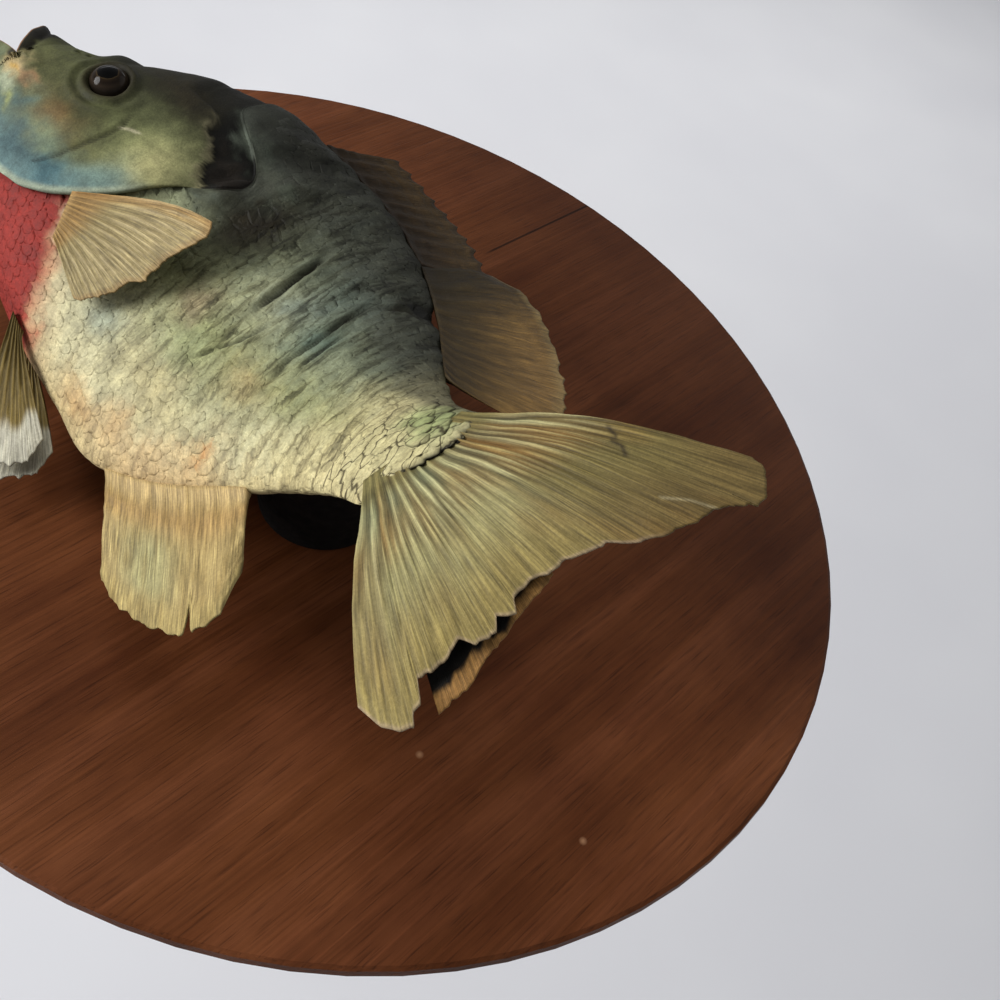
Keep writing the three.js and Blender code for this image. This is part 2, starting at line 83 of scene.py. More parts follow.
def stretched(tree, place, scale, **noise):
    """Noise drawn out along an axis, as wood grain, wrinkles and fin rays are."""
    at = add(tree, "ShaderNodeMapping", {"Vector": place, "Scale": scale})
    return add(tree, "ShaderNodeTexNoise", {"Vector": at, "Scale": 1.0, **noise})


def surface(tree, colour, rough, specular, height=None, strength=0, depth=0, ior=1.45):
    """Ends a material: its shader, with any relief as a bump whose depth is in metres."""
    inputs = {"Base Color": colour, "Roughness": rough, "Specular IOR Level": specular, "IOR": ior}
    if height is not None:
        inputs["Normal"] = add(tree, "ShaderNodeBump", {
            "Strength": strength, "Distance": depth, "Height": height})
    shader = add(tree, "ShaderNodeBsdfPrincipled", inputs)
    add(tree, "ShaderNodeOutputMaterial", {"Surface": shader})


TINTED = {"data_type": "RGBA", "blend_type": "MULTIPLY"}
BOARD_FRONT = -0.006
BOARD_SEAM = (-0.022, 0.068)
BOARD_DENTS = [(0.107, -0.027), (-0.06, -0.072), (0.012, -0.062), (0.075, -0.04)]


def stained_hardwood():
    """Mahogany-like board: its pores run along Z and read as fine dark dashes, under a low sheen."""
    material, tree, place = new_material("stained_hardwood_satin_varnish")
    # Growth figure, in bands about 9 mm wide that wander over 120 mm, and fibre streaks of
    # 0.8 mm by 40 mm. The open pores, 0.4 mm by 8 mm, are a third wider than real, to show.
    figure = stretched(tree, place, (110, 110, 8), Detail=5, Distortion=0.4)
    fibre = stretched(tree, place, (1300, 1300, 26), Detail=4)
    pore = stretched(tree, place, (2500, 2500, 120), Detail=1)
    pore_dark = add(tree, "ShaderNodeMapRange", {
        "Value": pore, "From Min": 0.55, "From Max": 0.75, "To Max": 0.45})
    body = add(tree, "ShaderNodeValToRGB", {"Fac": figure}, stops=[
        (0.3, "#5a3018"), (0.48, "#693c20"), (0.62, "#744428"), (0.8, "#5f351c")])
    streak = add(tree, "ShaderNodeValToRGB", {"Fac": fibre}, stops=[
        (0.3, "#8f8f8f"), (0.5, "#c8c8c8"), (0.72, "#f4f4f4")])
    wood = add(tree, "ShaderNodeMix", {0: 0.42, 6: body, 7: streak}, **TINTED)
    wood = add(tree, "ShaderNodeMix", {0: pore_dark, 6: wood, 7: "#26120a"}, data_type="RGBA")
    # The stain lies in clouds about 40 mm across, and towards the top the wood is darkened with painted
    # shade.
    cloud = add(tree, "ShaderNodeTexNoise", {"Vector": place, "Scale": 25, "Detail": 5, "Roughness": 0.6})
    cloud_tint = add(tree, "ShaderNodeValToRGB", {"Fac": cloud}, stops=[
        (0.3, "#b9aaa4"), (0.5, "#dfd8d4"), (0.7, "#ffffff")])
    wood = add(tree, "ShaderNodeMix", {0: 0.8, 6: wood, 7: cloud_tint}, **TINTED)
    rise = add(tree, "ShaderNodeVectorMath", {0: place, 1: (0.17, 0.0, 0.98)}, operation="DOT_PRODUCT")
    shaded_top = add(tree, "ShaderNodeMapRange", {
        "Value": rise, "From Min": 0.035, "From Max": 0.1, "To Max": 0.55})
    wood = add(tree, "ShaderNodeMix", {0: shaded_top, 6: wood, 7: "#2a150d"}, data_type="RGBA")
    # A glue joint opened at the top: a dark line 0.5 mm wide.
    axes = add(tree, "ShaderNodeSeparateXYZ", {0: place})
    apart = add(tree, "ShaderNodeMath", {0: axes, 1: BOARD_SEAM[0]}, operation="SUBTRACT")
    apart = add(tree, "ShaderNodeMath", {0: apart}, operation="ABSOLUTE")
    on_joint = add(tree, "ShaderNodeMapRange", {
        "Value": apart, "From Min": 0.00015, "From Max": 0.0005, "To Min": 0.8, "To Max": 0.0})
    high = add(tree, "ShaderNodeMapRange", {
        "Value": axes.outputs[2], "From Min": BOARD_SEAM[1], "From Max": BOARD_SEAM[1] + 0.004})
    joint = add(tree, "ShaderNodeMath", {0: on_joint, 1: high}, operation="MULTIPLY")
    wood = add(tree, "ShaderNodeMix", {0: joint, 6: wood, 7: "#0c0604"}, data_type="RGBA")
    # A few old knocks, up to 1.8 mm across, have gone through the stain and show as pale specks.
    knock = 0.0
    for x, z in BOARD_DENTS:
        apart = add(tree, "ShaderNodeVectorMath", {0: place, 1: (x, BOARD_FRONT, z)}, operation="DISTANCE")
        near = add(tree, "ShaderNodeMapRange", {
            "Value": apart, "From Min": 0.0002, "From Max": 0.0009, "To Min": 1.0, "To Max": 0.0})
        knock = add(tree, "ShaderNodeMath", {0: knock, 1: near}, operation="MAXIMUM")
    wood = add(tree, "ShaderNodeMix", {0: knock, 6: wood, 7: "#8a6448"}, data_type="RGBA")
    rough = add(tree, "ShaderNodeMapRange", {
        "Value": fibre, "From Min": 0.3, "From Max": 0.7, "To Min": 0.4, "To Max": 0.52})
    height = add(tree, "ShaderNodeMath", {0: pore_dark, 1: -0.6, 2: fibre}, operation="MULTIPLY_ADD")
    surface(tree, wood, rough, specular=0.1, height=height, strength=0.35, depth=0.0003)
    return material


def finish_node(name, material):
    """Puts a material on a carried-over CAD node."""
    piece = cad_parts[name]
    piece.data.materials.clear()
    piece.data.materials.append(material)


finish_node("board", stained_hardwood())


# --------------------------------------------------------------- mount block
# A round block turned from softwood, screwed to the board from behind and hollowed to
# the fish's far flank. Coloured matt near-black as painted shadow, so that it reads as
# the shadow under the belly.

def painted_shadow_softwood():
    """Softwood in near-black as painted shadow: turning marks 3 mm apart still show, dull and dry."""
    material, tree, place = new_material("turned_softwood_matt_black_paint")
    brushed = add(tree, "ShaderNodeTexNoise", {"Vector": place, "Scale": 400, "Detail": 4})
    body = add(tree, "ShaderNodeValToRGB", {"Fac": brushed}, stops=[(0.35, "#0b0908"), (0.65, "#171310")])
    turned = add(tree, "ShaderNodeTexWave", {
        "Vector": place, "Scale": 110, "Distortion": 1.5, "Detail": 2}, bands_direction="Y")
    surface(
        tree, body, rough=0.85, specular=0.15, height=turned.outputs["Fac"], strength=0.4,
        depth=0.0003, ior=1.5)
    return material


finish_node("mount_block", painted_shadow_softwood())


# ----------------------------------------------------------------- fish skin
# One bluegill skin, dried over a carved form and painted: thin, hard and satin, with
# buckled folds where the body bends, a gill cover that stands off the shoulder, a
# lipped open mouth and a sunken socket for each glass eye.

STANDARD_LENGTH = 0.160
MM = 0.001 / STANDARD_LENGTH
BACK_LINE = np.array([
    (-0.026, -0.07), (-0.012, -0.034), (0, -0.008), (0.012, 0.007), (0.035, 0.016),
    (0.08, 0.044), (0.12, 0.081), (0.15, 0.12), (0.18, 0.16), (0.22, 0.2), (0.26, 0.226),
    (0.3, 0.244), (0.4, 0.26), (0.5, 0.263), (0.6, 0.241), (0.7, 0.199), (0.8, 0.146),
    (0.9, 0.097), (0.96, 0.084), (1.01, 0.083), (1.05, 0.085)])
BELLY_LINE = np.array([
    (-0.026, -0.098), (-0.012, -0.108), (0.012, -0.117), (0.05, -0.128), (0.1, -0.143),
    (0.15, -0.163), (0.22, -0.197), (0.3, -0.232), (0.4, -0.2465), (0.5, -0.251),
    (0.6, -0.256), (0.7, -0.212), (0.8, -0.142), (0.9, -0.091), (0.96, -0.082),
    (1.01, -0.081), (1.05, -0.083)])
HALF_WIDTH = np.array([
    (-0.026, 0.014), (0, 0.03), (0.03, 0.046), (0.08, 0.066), (0.15, 0.084), (0.22, 0.094),
    (0.3, 0.1), (0.4, 0.098), (0.5, 0.09), (0.6, 0.077), (0.7, 0.061), (0.8, 0.0455),
    (0.9, 0.031), (0.96, 0.024), (1.01, 0.018), (1.05, 0.014)])


def smooth(x, start, end):
    """0 before start, 1 after end and an eased rise between them."""
    t = np.clip((np.asarray(x, float) - start) / (end - start), 0, 1)
    return t * t * (3 - 2 * t)


def curve_at(points, x):
    """A smooth curve through (x, y) points, with each slope taken from its neighbours."""
    xs, ys = points[:, 0], points[:, 1]
    last = len(xs) - 1
    before = np.maximum(np.arange(last + 1) - 1, 0)
    after = np.minimum(np.arange(last + 1) + 1, last)
    slope = (ys[after] - ys[before]) / (xs[after] - xs[before])
    k = np.clip(np.searchsorted(xs, x, side="left") - 1, 0, last - 1)
    span = xs[k + 1] - xs[k]
    t = np.clip((x - xs[k]) / span, 0, 1)
    bulge = t * (1 - t) * ((1 - t) * slope[k] - t * slope[k + 1]) * span
    return ys[k] + (ys[k + 1] - ys[k]) * t * t * (3 - 2 * t) + bulge


NECK_TURN, TRUNK_TURN, STOCK_TURN, FAN_TURN = 0.0746, 0.6744, 0.4239, 0.6554
STOCK_TWIST = 0.0673
HOLLOW_BACK = 0.0573


def spine_angle(s):
    """How far the spine has turned towards the left side, in radians."""
    trunk = NECK_TURN * (1 - smooth(s, 0.05, 0.4)) + TRUNK_TURN * (smooth(s, 0.2, 0.8) - 0.5)
    return trunk + STOCK_TURN * smooth(s, 0.6, 1) - FAN_TURN * smooth(s, 1, 1.25)


SPINE_STEP = 0.0025
SPINE_S = -0.1 + SPINE_STEP * np.arange(620)
SPINE_MIDDLE = 240
spine_turn = spine_angle(SPINE_S[:-1] + SPINE_STEP / 2)
spine_x = np.concatenate([[0], np.cumsum(np.cos(spine_turn) * SPINE_STEP)])
spine_y = np.concatenate([[0], -np.cumsum(np.sin(spine_turn) * SPINE_STEP)])
spine_x -= spine_x[SPINE_MIDDLE]
spine_y -= spine_y[SPINE_MIDDLE]
# On the wall the fish is turned about Z, then X, then Y, in radians, and set off the board.
FISH_TURN = np.array((
    Matrix.Rotation(0.1042, 3, "Y") @ Matrix.Rotation(0.2636, 3, "X")
    @ Matrix.Rotation(-0.0165, 3, "Z")))
FISH_PLACE = np.array((-0.0193, -0.0304, -0.0165))


def fish_point(s, v, w):
    """Places on the fish, as fractions of its length, to points in metres.
    s runs along the spine from lip to tail, v is height over it, w is out to the left."""
    s, v, w = np.broadcast_arrays(*[np.asarray(part, float) for part in (s, v, w)])
    turn = spine_angle(s)
    twist = STOCK_TWIST * smooth(s, 0.6, 1.1)
    up = v * np.cos(twist) - w * np.sin(twist)
    side = v * np.sin(twist) + w * np.cos(twist)
    point = np.stack([
        np.interp(s, SPINE_S, spine_x) - np.sin(turn) * side,
        np.interp(s, SPINE_S, spine_y) - np.cos(turn) * side,
        up + HOLLOW_BACK * (s - 0.5) ** 2], -1) * STANDARD_LENGTH
    return point @ FISH_TURN.T + FISH_PLACE


# The gape: the lips' tips and the mouth's corner, as (s, v).
UPPER_LIP = (0.003, 0.004)
LOWER_LIP = (-0.02, -0.07)
MOUTH_CORNER = (0.062, -0.056)
EYE = (0.1675, 0.0235)
EYE_RADIUS = 4.6 * MM
EYE_SUNK = 3.1 * MM

# The free rear edge of the gill cover, ear lobe included, from the throat up, as (s, v).
GILL_EDGE = np.array([
    (0.118, -0.152), (0.15, -0.157), (0.191, -0.152), (0.215, -0.146), (0.235, -0.141),
    (0.254, -0.131), (0.274, -0.117), (0.29, -0.101), (0.304, -0.085), (0.317, -0.067),
    (0.328, -0.05), (0.338, -0.031), (0.345, -0.012), (0.354, 0.008), (0.363, 0.026),
    (0.374, 0.044), (0.384, 0.058), (0.397, 0.076), (0.403, 0.092), (0.397, 0.108),
    (0.377, 0.123), (0.342, 0.136), (0.305, 0.146), (0.28, 0.156), (0.27, 0.175)])


def middle_at(s):
    return (curve_at(BACK_LINE, s) + curve_at(BELLY_LINE, s)) / 2


def half_height_at(s):
    return (curve_at(BACK_LINE, s) - curve_at(BELLY_LINE, s)) / 2


def width_at(s, v):
    """Half the body's width at height v of section s."""
    part = np.clip((v - middle_at(s)) / half_height_at(s), -1, 1)
    return curve_at(HALF_WIDTH, s) * (1 - part ** 2) ** 0.575


def lattice_noise(x, y, seed):
    """Smooth random waves of size 1 over a unit lattice, between about -1 and 1."""
    values = np.random.default_rng(seed).uniform(-1, 1, (256, 256))
    x0, y0 = np.floor(x).astype(int), np.floor(y).astype(int)
    fx, fy = x - x0, y - y0
    fx, fy = fx * fx * (3 - 2 * fx), fy * fy * (3 - 2 * fy)
    corner = [values[(x0 + i) % 256, (y0 + j) % 256] for i in (0, 1) for j in (0, 1)]
    near = corner[0] * (1 - fy) + corner[1] * fy
    far = corner[2] * (1 - fy) + corner[3] * fy
    return near * (1 - fx) + far * fx


def from_line(points, s, v):
    """Distance from an (s, v) polyline, signed positive on its rear side, and place along it."""
    points = np.asarray(points, float)
    best = np.full(np.shape(s), 1e9)
    sign = np.zeros(np.shape(s))
    along = np.zeros(np.shape(s))
    for k in range(len(points) - 1):
        (s0, v0), (s1, v1) = points[k], points[k + 1]
        ds, dv = s1 - s0, v1 - v0
        t = np.clip(((s - s0) * ds + (v - v0) * dv) / (ds * ds + dv * dv), 0, 1)
        away = np.hypot(s - s0 - t * ds, v - v0 - t * dv)
        nearer = away < best
        best = np.where(nearer, away, best)
        sign = np.where(nearer, np.sign((s - s0) * dv - (v - v0) * ds), sign)
        along = np.where(nearer, (k + t) / (len(points) - 1), along)
    return best, sign, along


# Folds in the dried skin: (s, v) points, depth in mm, width in mm. They run across the
# hollow of the bend, as cloth creases inside an elbow.
FURROWS = [
    ([(0.604, -0.02), (0.59, 0.049), (0.578, 0.09), (0.562, 0.14)], 1.15, 1.3),
    ([(0.726, -0.05), (0.705, -0.001), (0.7, 0.035), (0.686, 0.079), (0.668, 0.14)], 0.75, 0.8),
    ([(0.745, -0.03), (0.724, 0.01), (0.716, 0.045), (0.705, 0.08)], 0.6, 0.7),
    ([(0.612, -0.095), (0.622, -0.065), (0.633, -0.032), (0.636, 0.02)], 0.75, 0.8),
    ([(0.535, -0.115), (0.548, -0.088), (0.553, -0.05)], 0.3, 0.6),
    ([(0.66, 0.02), (0.652, 0.07), (0.641, 0.12), (0.625, 0.16)], 0.45, 0.8),
    ([(0.75, 0.02), (0.735, 0.06), (0.72, 0.11), (0.71, 0.16)], 0.5, 0.8),
    ([(0.78, -0.02), (0.772, 0.03), (0.76, 0.08)], 0.35, 0.6),
    ([(0.545, 0.03), (0.538, 0.08), (0.53, 0.13)], 0.3, 0.7),
    ([(0.68, 0.13), (0.7, 0.165), (0.73, 0.17)], 0.7, 1.3),
    ([(0.88, -0.06), (0.885, -0.01), (0.875, 0.04), (0.86, 0.075)], 0.3, 0.4),
    ([(0.925, -0.078), (0.93, -0.03), (0.925, 0.02), (0.905, 0.07)], 0.4, 0.4),
    ([(0.965, -0.08), (0.975, -0.035), (0.965, 0.0)], 0.35, 0.4),
]
LEAN = 0.24
CHEEK_LINE = [(0.225, -0.112), (0.236, -0.089), (0.242, -0.05), (0.246, -0.02), (0.243, 0.002),
              (0.232, 0.02)]
PLATE_EDGE = [(0.376, 0.044), (0.358, 0.049), (0.345, 0.055), (0.342, 0.07), (0.322, 0.088),
              (0.305, 0.092), (0.291, 0.096), (0.282, 0.12), (0.262, 0.123), (0.235, 0.116),
              (0.215, 0.108)]
JAW_STRAP = [(0.0, -0.022), (0.05, -0.035), (0.098, -0.052)]
NAPE_RIDGE = [(0.41, 0.07), (0.428, 0.12), (0.432, 0.2)]
NOSTRILS = [(0.088, 0.017), (0.104, 0.026)]
# Swellings and hollows: height in mm, then an oval's middle and half axes in s and v.
SWELLINGS = [
    (1.4, 0.117, 0.066, 0.02, 0.024),       # the skull's edge, standing over the eye
    (-0.45, 0.14, 0.088, 0.007, 0.03),      # a nick behind it
    (0.7, 0.195, -0.055, 0.035, 0.035),     # jaw muscle in the cheek
    (-1.3, 0.475, 0.04, 0.05, 0.08),        # the shoulder, sunk behind the paired fin
    (-2.2, 0.702, 0.187, 0.024, 0.016),     # a pit between the fin bones, by the back fin's root
]


def bell(x, middle, width, power=2):
    """1 at the middle, falling away smoothly on both sides."""
    return np.exp(-np.abs((x - middle) / width) ** power)


def spot(s, v, middle_s, middle_v, reach_s, reach_v, power=2):
    """A soft-edged oval mask."""
    return bell(np.hypot((s - middle_s) / reach_s, (v - middle_v) / reach_v), 0, 1, power)


def between(x, start, full, fade, end):
    """Rises from 0 at start to 1 at full, and falls again from fade to end."""
    return smooth(x, start, full) * (1 - smooth(x, fade, end))


def skin_relief(s, v):
    """How far the skin stands off the plain form, in mm, at (s, v) of either flank."""
    relief = np.zeros(np.broadcast(s, v).shape)
    for height, *oval in SWELLINGS:
        relief += height * spot(s, v, *oval)
    # Eye socket: a bowl under the ball, a rim round it and a slack fold below that.
    ring = np.hypot(s - EYE[0], v - EYE[1]) / MM
    brow = smooth((v - EYE[1]) / np.maximum(ring * MM, 1e-6), -0.2, 0.9)
    relief -= 5.0 * (1 - smooth(ring, 2.4, 4.7))
    relief += (0.5 + 0.6 * brow) * bell(ring, 5.2, 0.8)
    relief += (1 - brow) * (0.35 * bell(ring, 8.0, 0.9) - 0.45 * bell(ring, 6.9, 0.7))
    for place in NOSTRILS:
        hole = np.hypot(s - place[0], v - place[1]) / MM
        relief += 0.3 * bell(hole, 0.95, 0.35) - 0.9 * bell(hole, 0, 0.55)
    # The cheek ends at a crease over the gill cover's front bone.
    away, sign, along = from_line(CHEEK_LINE, s, v)
    ends = between(along, 0, 0.1, 0.85, 1)
    relief += ends * (0.2 * bell(away / MM, 1.2, 1.1) * (sign < 0) - 0.35 * bell(away / MM, 0, 0.45))
    # Upper jaw bone: a flat strap from the lip to below the eye.
    away, sign, along = from_line(JAW_STRAP, s, v)
    relief += 0.5 * bell(away / MM, 0, 2.2, 4) * (1 - smooth(along, 0.96, 1)) * (s < 0.105)
    relief += 0.6 * bell(from_line(NAPE_RIDGE, s, v)[0] / MM, 0, 2.6)
    for points, depth, width in FURROWS:
        away, sign, along = from_line(points, s, v)
        wander = 1 + 0.5 * lattice_noise(s * 160, v * 160, 7)
        bank = bell(away / MM, width * 1.25, width * 0.7)
        trough = bell(away / MM, 0, width * 0.55 * wander)
        relief += between(along, 0, 0.25, 0.75, 1) * depth * (0.45 * bank - trough)
    # Fine crumpling, strongest inside the bend: crests 1.6 to 4 mm apart across the body.
    bend = between(s, 0.45, 0.62, 0.86, 0.96) * smooth(v, -0.19, -0.02)
    lean = s + LEAN * v
    crumple = lattice_noise(lean / (3.6 * MM), v / (16 * MM), 11)
    crumple += 0.7 * lattice_noise(lean / (1.5 * MM), v / (7 * MM), 12)
    relief += (0.07 + 0.33 * bend) * crumple * smooth(s, 0.34, 0.44)
    # Loose folds behind the ear, then slack and grain all over.
    folded = between(s, 0.3, 0.36, 0.46, 0.56) * smooth(v, 0.0, 0.08)
    relief += 0.8 * folded * lattice_noise((s - 0.4 * v) / (3.2 * MM), (v + 0.3 * s) / (6 * MM), 16)
    relief += 0.12 * lattice_noise(s / (6 * MM), v / (5 * MM), 13)
    relief += 0.05 * lattice_noise(s / (2.2 * MM), v / (2.2 * MM), 14)
    return relief


# Points round a section of skin: half go up the left flank and half down the right one, evenly
# spaced along the trunk's own oval.
COLUMNS = 256
HALF = COLUMNS // 2
OVAL_HIGH, OVAL_WIDE = 0.25, 0.095
half_turn = np.linspace(-math.pi / 2, math.pi / 2, 2001)
arc = np.cumsum(np.hypot(OVAL_HIGH * np.cos(half_turn), OVAL_WIDE * np.abs(np.sin(half_turn))))
arc = (arc - arc[0]) / (arc[-1] - arc[0])
left_angles = np.interp(np.linspace(0, 1, HALF + 1), arc, half_turn)
angles = np.concatenate([left_angles, left_angles[-2:0:-1]])
sides = np.ones(COLUMNS)
sides[HALF + 1:] = -1
sides[[0, HALF]] = 0
upper = angles > 0
flank = 1 - np.abs(angles) / (math.pi / 2)

# The gill cover's edge, as a place along the fish for each angle; above the ear it isn't free.
edge_angle = np.arcsin(np.clip(
    (GILL_EDGE[:, 1] - middle_at(GILL_EDGE[:, 0])) / half_height_at(GILL_EDGE[:, 0]), -1, 1))
edge_angle[0] = -math.pi / 2
edge_table = np.column_stack([edge_angle, GILL_EDGE[:, 0]])
gill_s = curve_at(np.vstack([edge_table, [(math.pi / 2, 0.262)]]), angles)
gill_free = 1 - smooth(angles, -0.1, 0.16)


def jaw_surface(s, out, upper_jaw):
    """Height and half width of the skin: out is 0 on the midline and 1 at the mid flank or lip."""
    tip = np.where(upper_jaw, UPPER_LIP[0], LOWER_LIP[0] - 0.002)
    tip_v = np.where(upper_jaw, UPPER_LIP[1], LOWER_LIP[1])
    ahead = np.clip((MOUTH_CORNER[0] - s) / (MOUTH_CORNER[0] - tip), 0, 1)
    edge_v = np.where(
        s < MOUTH_CORNER[0], MOUTH_CORNER[1] + (tip_v - MOUTH_CORNER[1]) * ahead, middle_at(s))
    line_v = np.where(upper_jaw, curve_at(BACK_LINE, s), curve_at(BELLY_LINE, s))
    line_v = edge_v + (line_v - edge_v) * (1 - ahead ** 5)
    round_off = (1 - ahead ** 2.4) ** 0.42
    turn = out * math.pi / 2
    bulge = 1.15 - 0.4 * smooth(ahead, 0, 0.6)
    v = edge_v + (line_v - edge_v) * np.cos(turn)
    w = curve_at(HALF_WIDTH, s) * round_off * np.sin(turn) ** bulge
    return v, w


HEAD_ROWS = 104
BODY_ROWS = 216
LINING_ROWS = 20
LIP_ROWS = 6
FLANK_START = 0.16
GILL_LIFT = 2.1
# The gill cover's free edge goes round its rim, forward underneath and down to the shoulder:
# how far back and how high each row lies, in mm.
GILL_FOLD = [(0.4, 1.85), (0.55, 1.45), (0.4, 1.05), (-0.2, 0.8), (-1.2, 0.72),
             (-2.6, 0.6), (-4.2, 0.35), (-5.0, 0.05), (-4.6, -0.25), (-3.8, -0.3)]

rows = []
tip_s = np.where(upper, UPPER_LIP[0], LOWER_LIP[0])
lip_s = tip_s + flank * (MOUTH_CORNER[0] - tip_s)
for k in range(HEAD_ROWS):
    s = lip_s + (gill_s - lip_s) * (k / (HEAD_ROWS - 1)) ** 1.08
    reach = np.clip((FLANK_START - s) / (FLANK_START - lip_s), 0, 1)
    out = flank + (1 - flank) * ((lip_s - tip_s) / np.maximum(s - tip_s, 1e-6)) ** 0.9 * reach ** 1.5
    rising = smooth(s, 0.1, 0.3) * 0.4 + 0.6 * smooth(s - gill_s, -0.09, -0.01)
    rows.append((s, *jaw_surface(s, np.clip(out, 0, 1), upper), gill_free * rising * GILL_LIFT))
for k, (back, high) in enumerate(GILL_FOLD):
    s = gill_s + (back * gill_free + 0.1 * (k + 1) * (1 - gill_free)) * MM
    rows.append((s, *jaw_surface(s, flank, upper), high * gill_free))
shoulder_s = s
STOCK_HALF = 0.083
FLESH_RIM = np.array([
    (-0.082, 1.012), (-0.063, 1.017), (-0.046, 1.022), (-0.03, 1.027), (-0.011, 1.035),
    (0.011, 1.04), (0.034, 1.04), (0.058, 1.034), (0.076, 1.024), (0.086, 1.015)])


def flesh_rim(angle):
    """Where the flesh ends at the tail fin, for an angle round the section."""
    return np.interp(STOCK_HALF * np.sin(angle), FLESH_RIM[:, 0], FLESH_RIM[:, 1])


rim_s = flesh_rim(angles) + 0.004 * lattice_noise(angles * 14, sides * 3 + 5, 15)
for k in range(1, BODY_ROWS + 1):
    t = k / BODY_ROWS
    s = shoulder_s + (rim_s - shoulder_s) * (t * 0.9 + 0.1 * t * t)
    tucked = -0.3 * gill_free * (1 - smooth(s - shoulder_s, 0.004, 0.04))
    rows.append((s, *jaw_surface(s, flank, upper), tucked))
rows_s, rows_v, rows_w, rows_lift = np.array(rows).transpose(1, 0, 2)


def grid_normals(points):
    """Unit normals, pointing out, of an open stack of closed rings."""
    along = np.gradient(points, axis=0)
    across = np.roll(points, -1, 1) - np.roll(points, 1, 1)
    normal = np.cross(along, across)
    return normal / np.maximum(np.linalg.norm(normal, axis=-1, keepdims=True), 1e-12)


FOLD_END = HEAD_ROWS + len(GILL_FOLD)
head = slice(0, HEAD_ROWS)
side_grid = np.broadcast_to(sides, rows_s.shape)
skin_points = fish_point(rows_s, rows_v, rows_w * side_grid)
skin_out = grid_normals(skin_points)
for k in range(HEAD_ROWS, FOLD_END):
    part = (k - HEAD_ROWS + 1) / (FOLD_END - HEAD_ROWS + 1)
    skin_out[k] = skin_out[HEAD_ROWS - 2] * (1 - part) + skin_out[FOLD_END + 1] * part
skin_out[HEAD_ROWS - 1] = skin_out[HEAD_ROWS - 2]
skin_out[FOLD_END] = skin_out[FOLD_END + 1]
relief_mm = skin_relief(rows_s, rows_v)
relief_mm[HEAD_ROWS:FOLD_END] *= np.linspace(0.8, 0.0, len(GILL_FOLD))[:, None]
lift_mm = rows_lift + relief_mm - 0.35
# The ear lobe lies one step lower than the bony plate in front of it.
away, sign, along = from_line(PLATE_EDGE, rows_s[head], rows_v[head])
plate_step = smooth(away / MM * sign, -0.2, 0.35) * (rows_v[head] > 0.03)
lift_mm[head] -= 0.9 * plate_step * between(along, 0, 0.06, 0.85, 1)
# Lips: a soft roll 1.5 mm wide along the gape.
lip_away = np.hypot(rows_s - lip_s, rows_v - rows_v[0])[head] / MM
lift_mm[head] += 0.45 * bell(lip_away, 0, 1.3) - 0.3 * bell(lip_away, 2.6, 0.7)
# The skin is drawn in at its rim, where it meets the tail fin.
lift_mm -= 0.8 * smooth(rows_s - rim_s, -0.012, 0.0)
skin_points = skin_points + skin_out * (lift_mm / 1000)[..., None]

# Mouth lining, from the lips in to the throat, and the rolled lip edge.
lip_edge = skin_points[0]
inward = lip_edge.mean(0) - lip_edge
inward /= np.linalg.norm(inward, axis=1, keepdims=True)
ahead = fish_point(-0.02, -0.05, 0) - fish_point(0.03, -0.05, 0)
ahead /= np.linalg.norm(ahead)
lining = []
for turn in np.linspace(0, math.pi, LIP_ROWS + 1)[1:]:
    lining.append(lip_edge + inward * (0.00055 * (1 - math.cos(turn))) + ahead * (0.0006 * math.sin(turn)))
throat_turn = np.where(upper, 1, -1) * (1 - flank) * math.pi / 2
throat = fish_point(
    0.098, -0.066 + 0.03 * np.sin(throat_turn), 0.03 * np.cos(throat_turn) * sides)
start = lining[-1]
for t in np.linspace(0, 1, LINING_ROWS + 1)[1:]:
    lining.append(start + (throat - start) * t - inward * (0.0012 * math.sin(math.pi * t)))
gullet = fish_point(0.125, -0.07, 0)
cap_middle = skin_points[-1].mean(0)
cap = [skin_points[-1] + (cap_middle - skin_points[-1]) * part for part in (0.25, 0.6)]
rings = np.concatenate([np.array(lining)[::-1], skin_points, np.array(cap)])


def ring_faces(row_count, column_count):
    """Quads of a stack of closed rings, as vertex numbers."""
    first = np.arange(row_count - 1)[:, None] * column_count
    columns = np.arange(column_count)[None, :]
    nexts = (columns + 1) % column_count
    quads = [first + columns, first + nexts, first + column_count + nexts, first + column_count + columns]
    return np.stack(quads, -1).reshape(-1, 4)


def new_piece(name, points, faces, material=None):
    """A mesh object from arrays, with its place in its mesh and its faces turned outwards."""
    mesh = bpy.data.meshes.new(name)
    mesh.from_pydata(np.asarray(points, float).tolist(), [], [list(map(int, f)) for f in faces])
    mesh.validate()
    work = bmesh.new()
    work.from_mesh(mesh)
    bmesh.ops.recalc_face_normals(work, faces=work.faces)
    if work.calc_volume(signed=True) < 0:
        bmesh.ops.reverse_faces(work, faces=work.faces)
    work.to_mesh(mesh)
    work.free()
    mesh.polygons.foreach_set("use_smooth", [True] * len(mesh.polygons))
    piece = bpy.data.objects.new(name, mesh)
    bpy.context.scene.collection.objects.link(piece)
    if material is not None:
        mesh.materials.append(material)
    return piece


def store(piece, **arrays):
    """Stores arrays with one row for each vertex. Paint is kept as colours."""
    for name, values in arrays.items():
        kind = {1: "FLOAT", 2: "FLOAT2", 3: "FLOAT_VECTOR"}[1 if values.ndim == 1 else values.shape[1]]
        if name == "paint":
            kind, values = "FLOAT_COLOR", np.column_stack([values, np.ones(len(values))])
        layer = piece.data.attributes.new(name, kind, "POINT")
        key = {"FLOAT_COLOR": "color", "FLOAT": "value"}.get(kind, "vector")
        layer.data.foreach_set(key, values.astype(np.float32).ravel())


def set_uv(piece, name, places):
    """Adds a UV map from one place for each vertex."""
    corner_vertex = np.zeros(len(piece.data.loops), int)
    piece.data.loops.foreach_get("vertex_index", corner_vertex)
    layer = piece.data.uv_layers.new(name=name)
    layer.data.foreach_set("uv", places[corner_vertex].astype(np.float32).ravel())


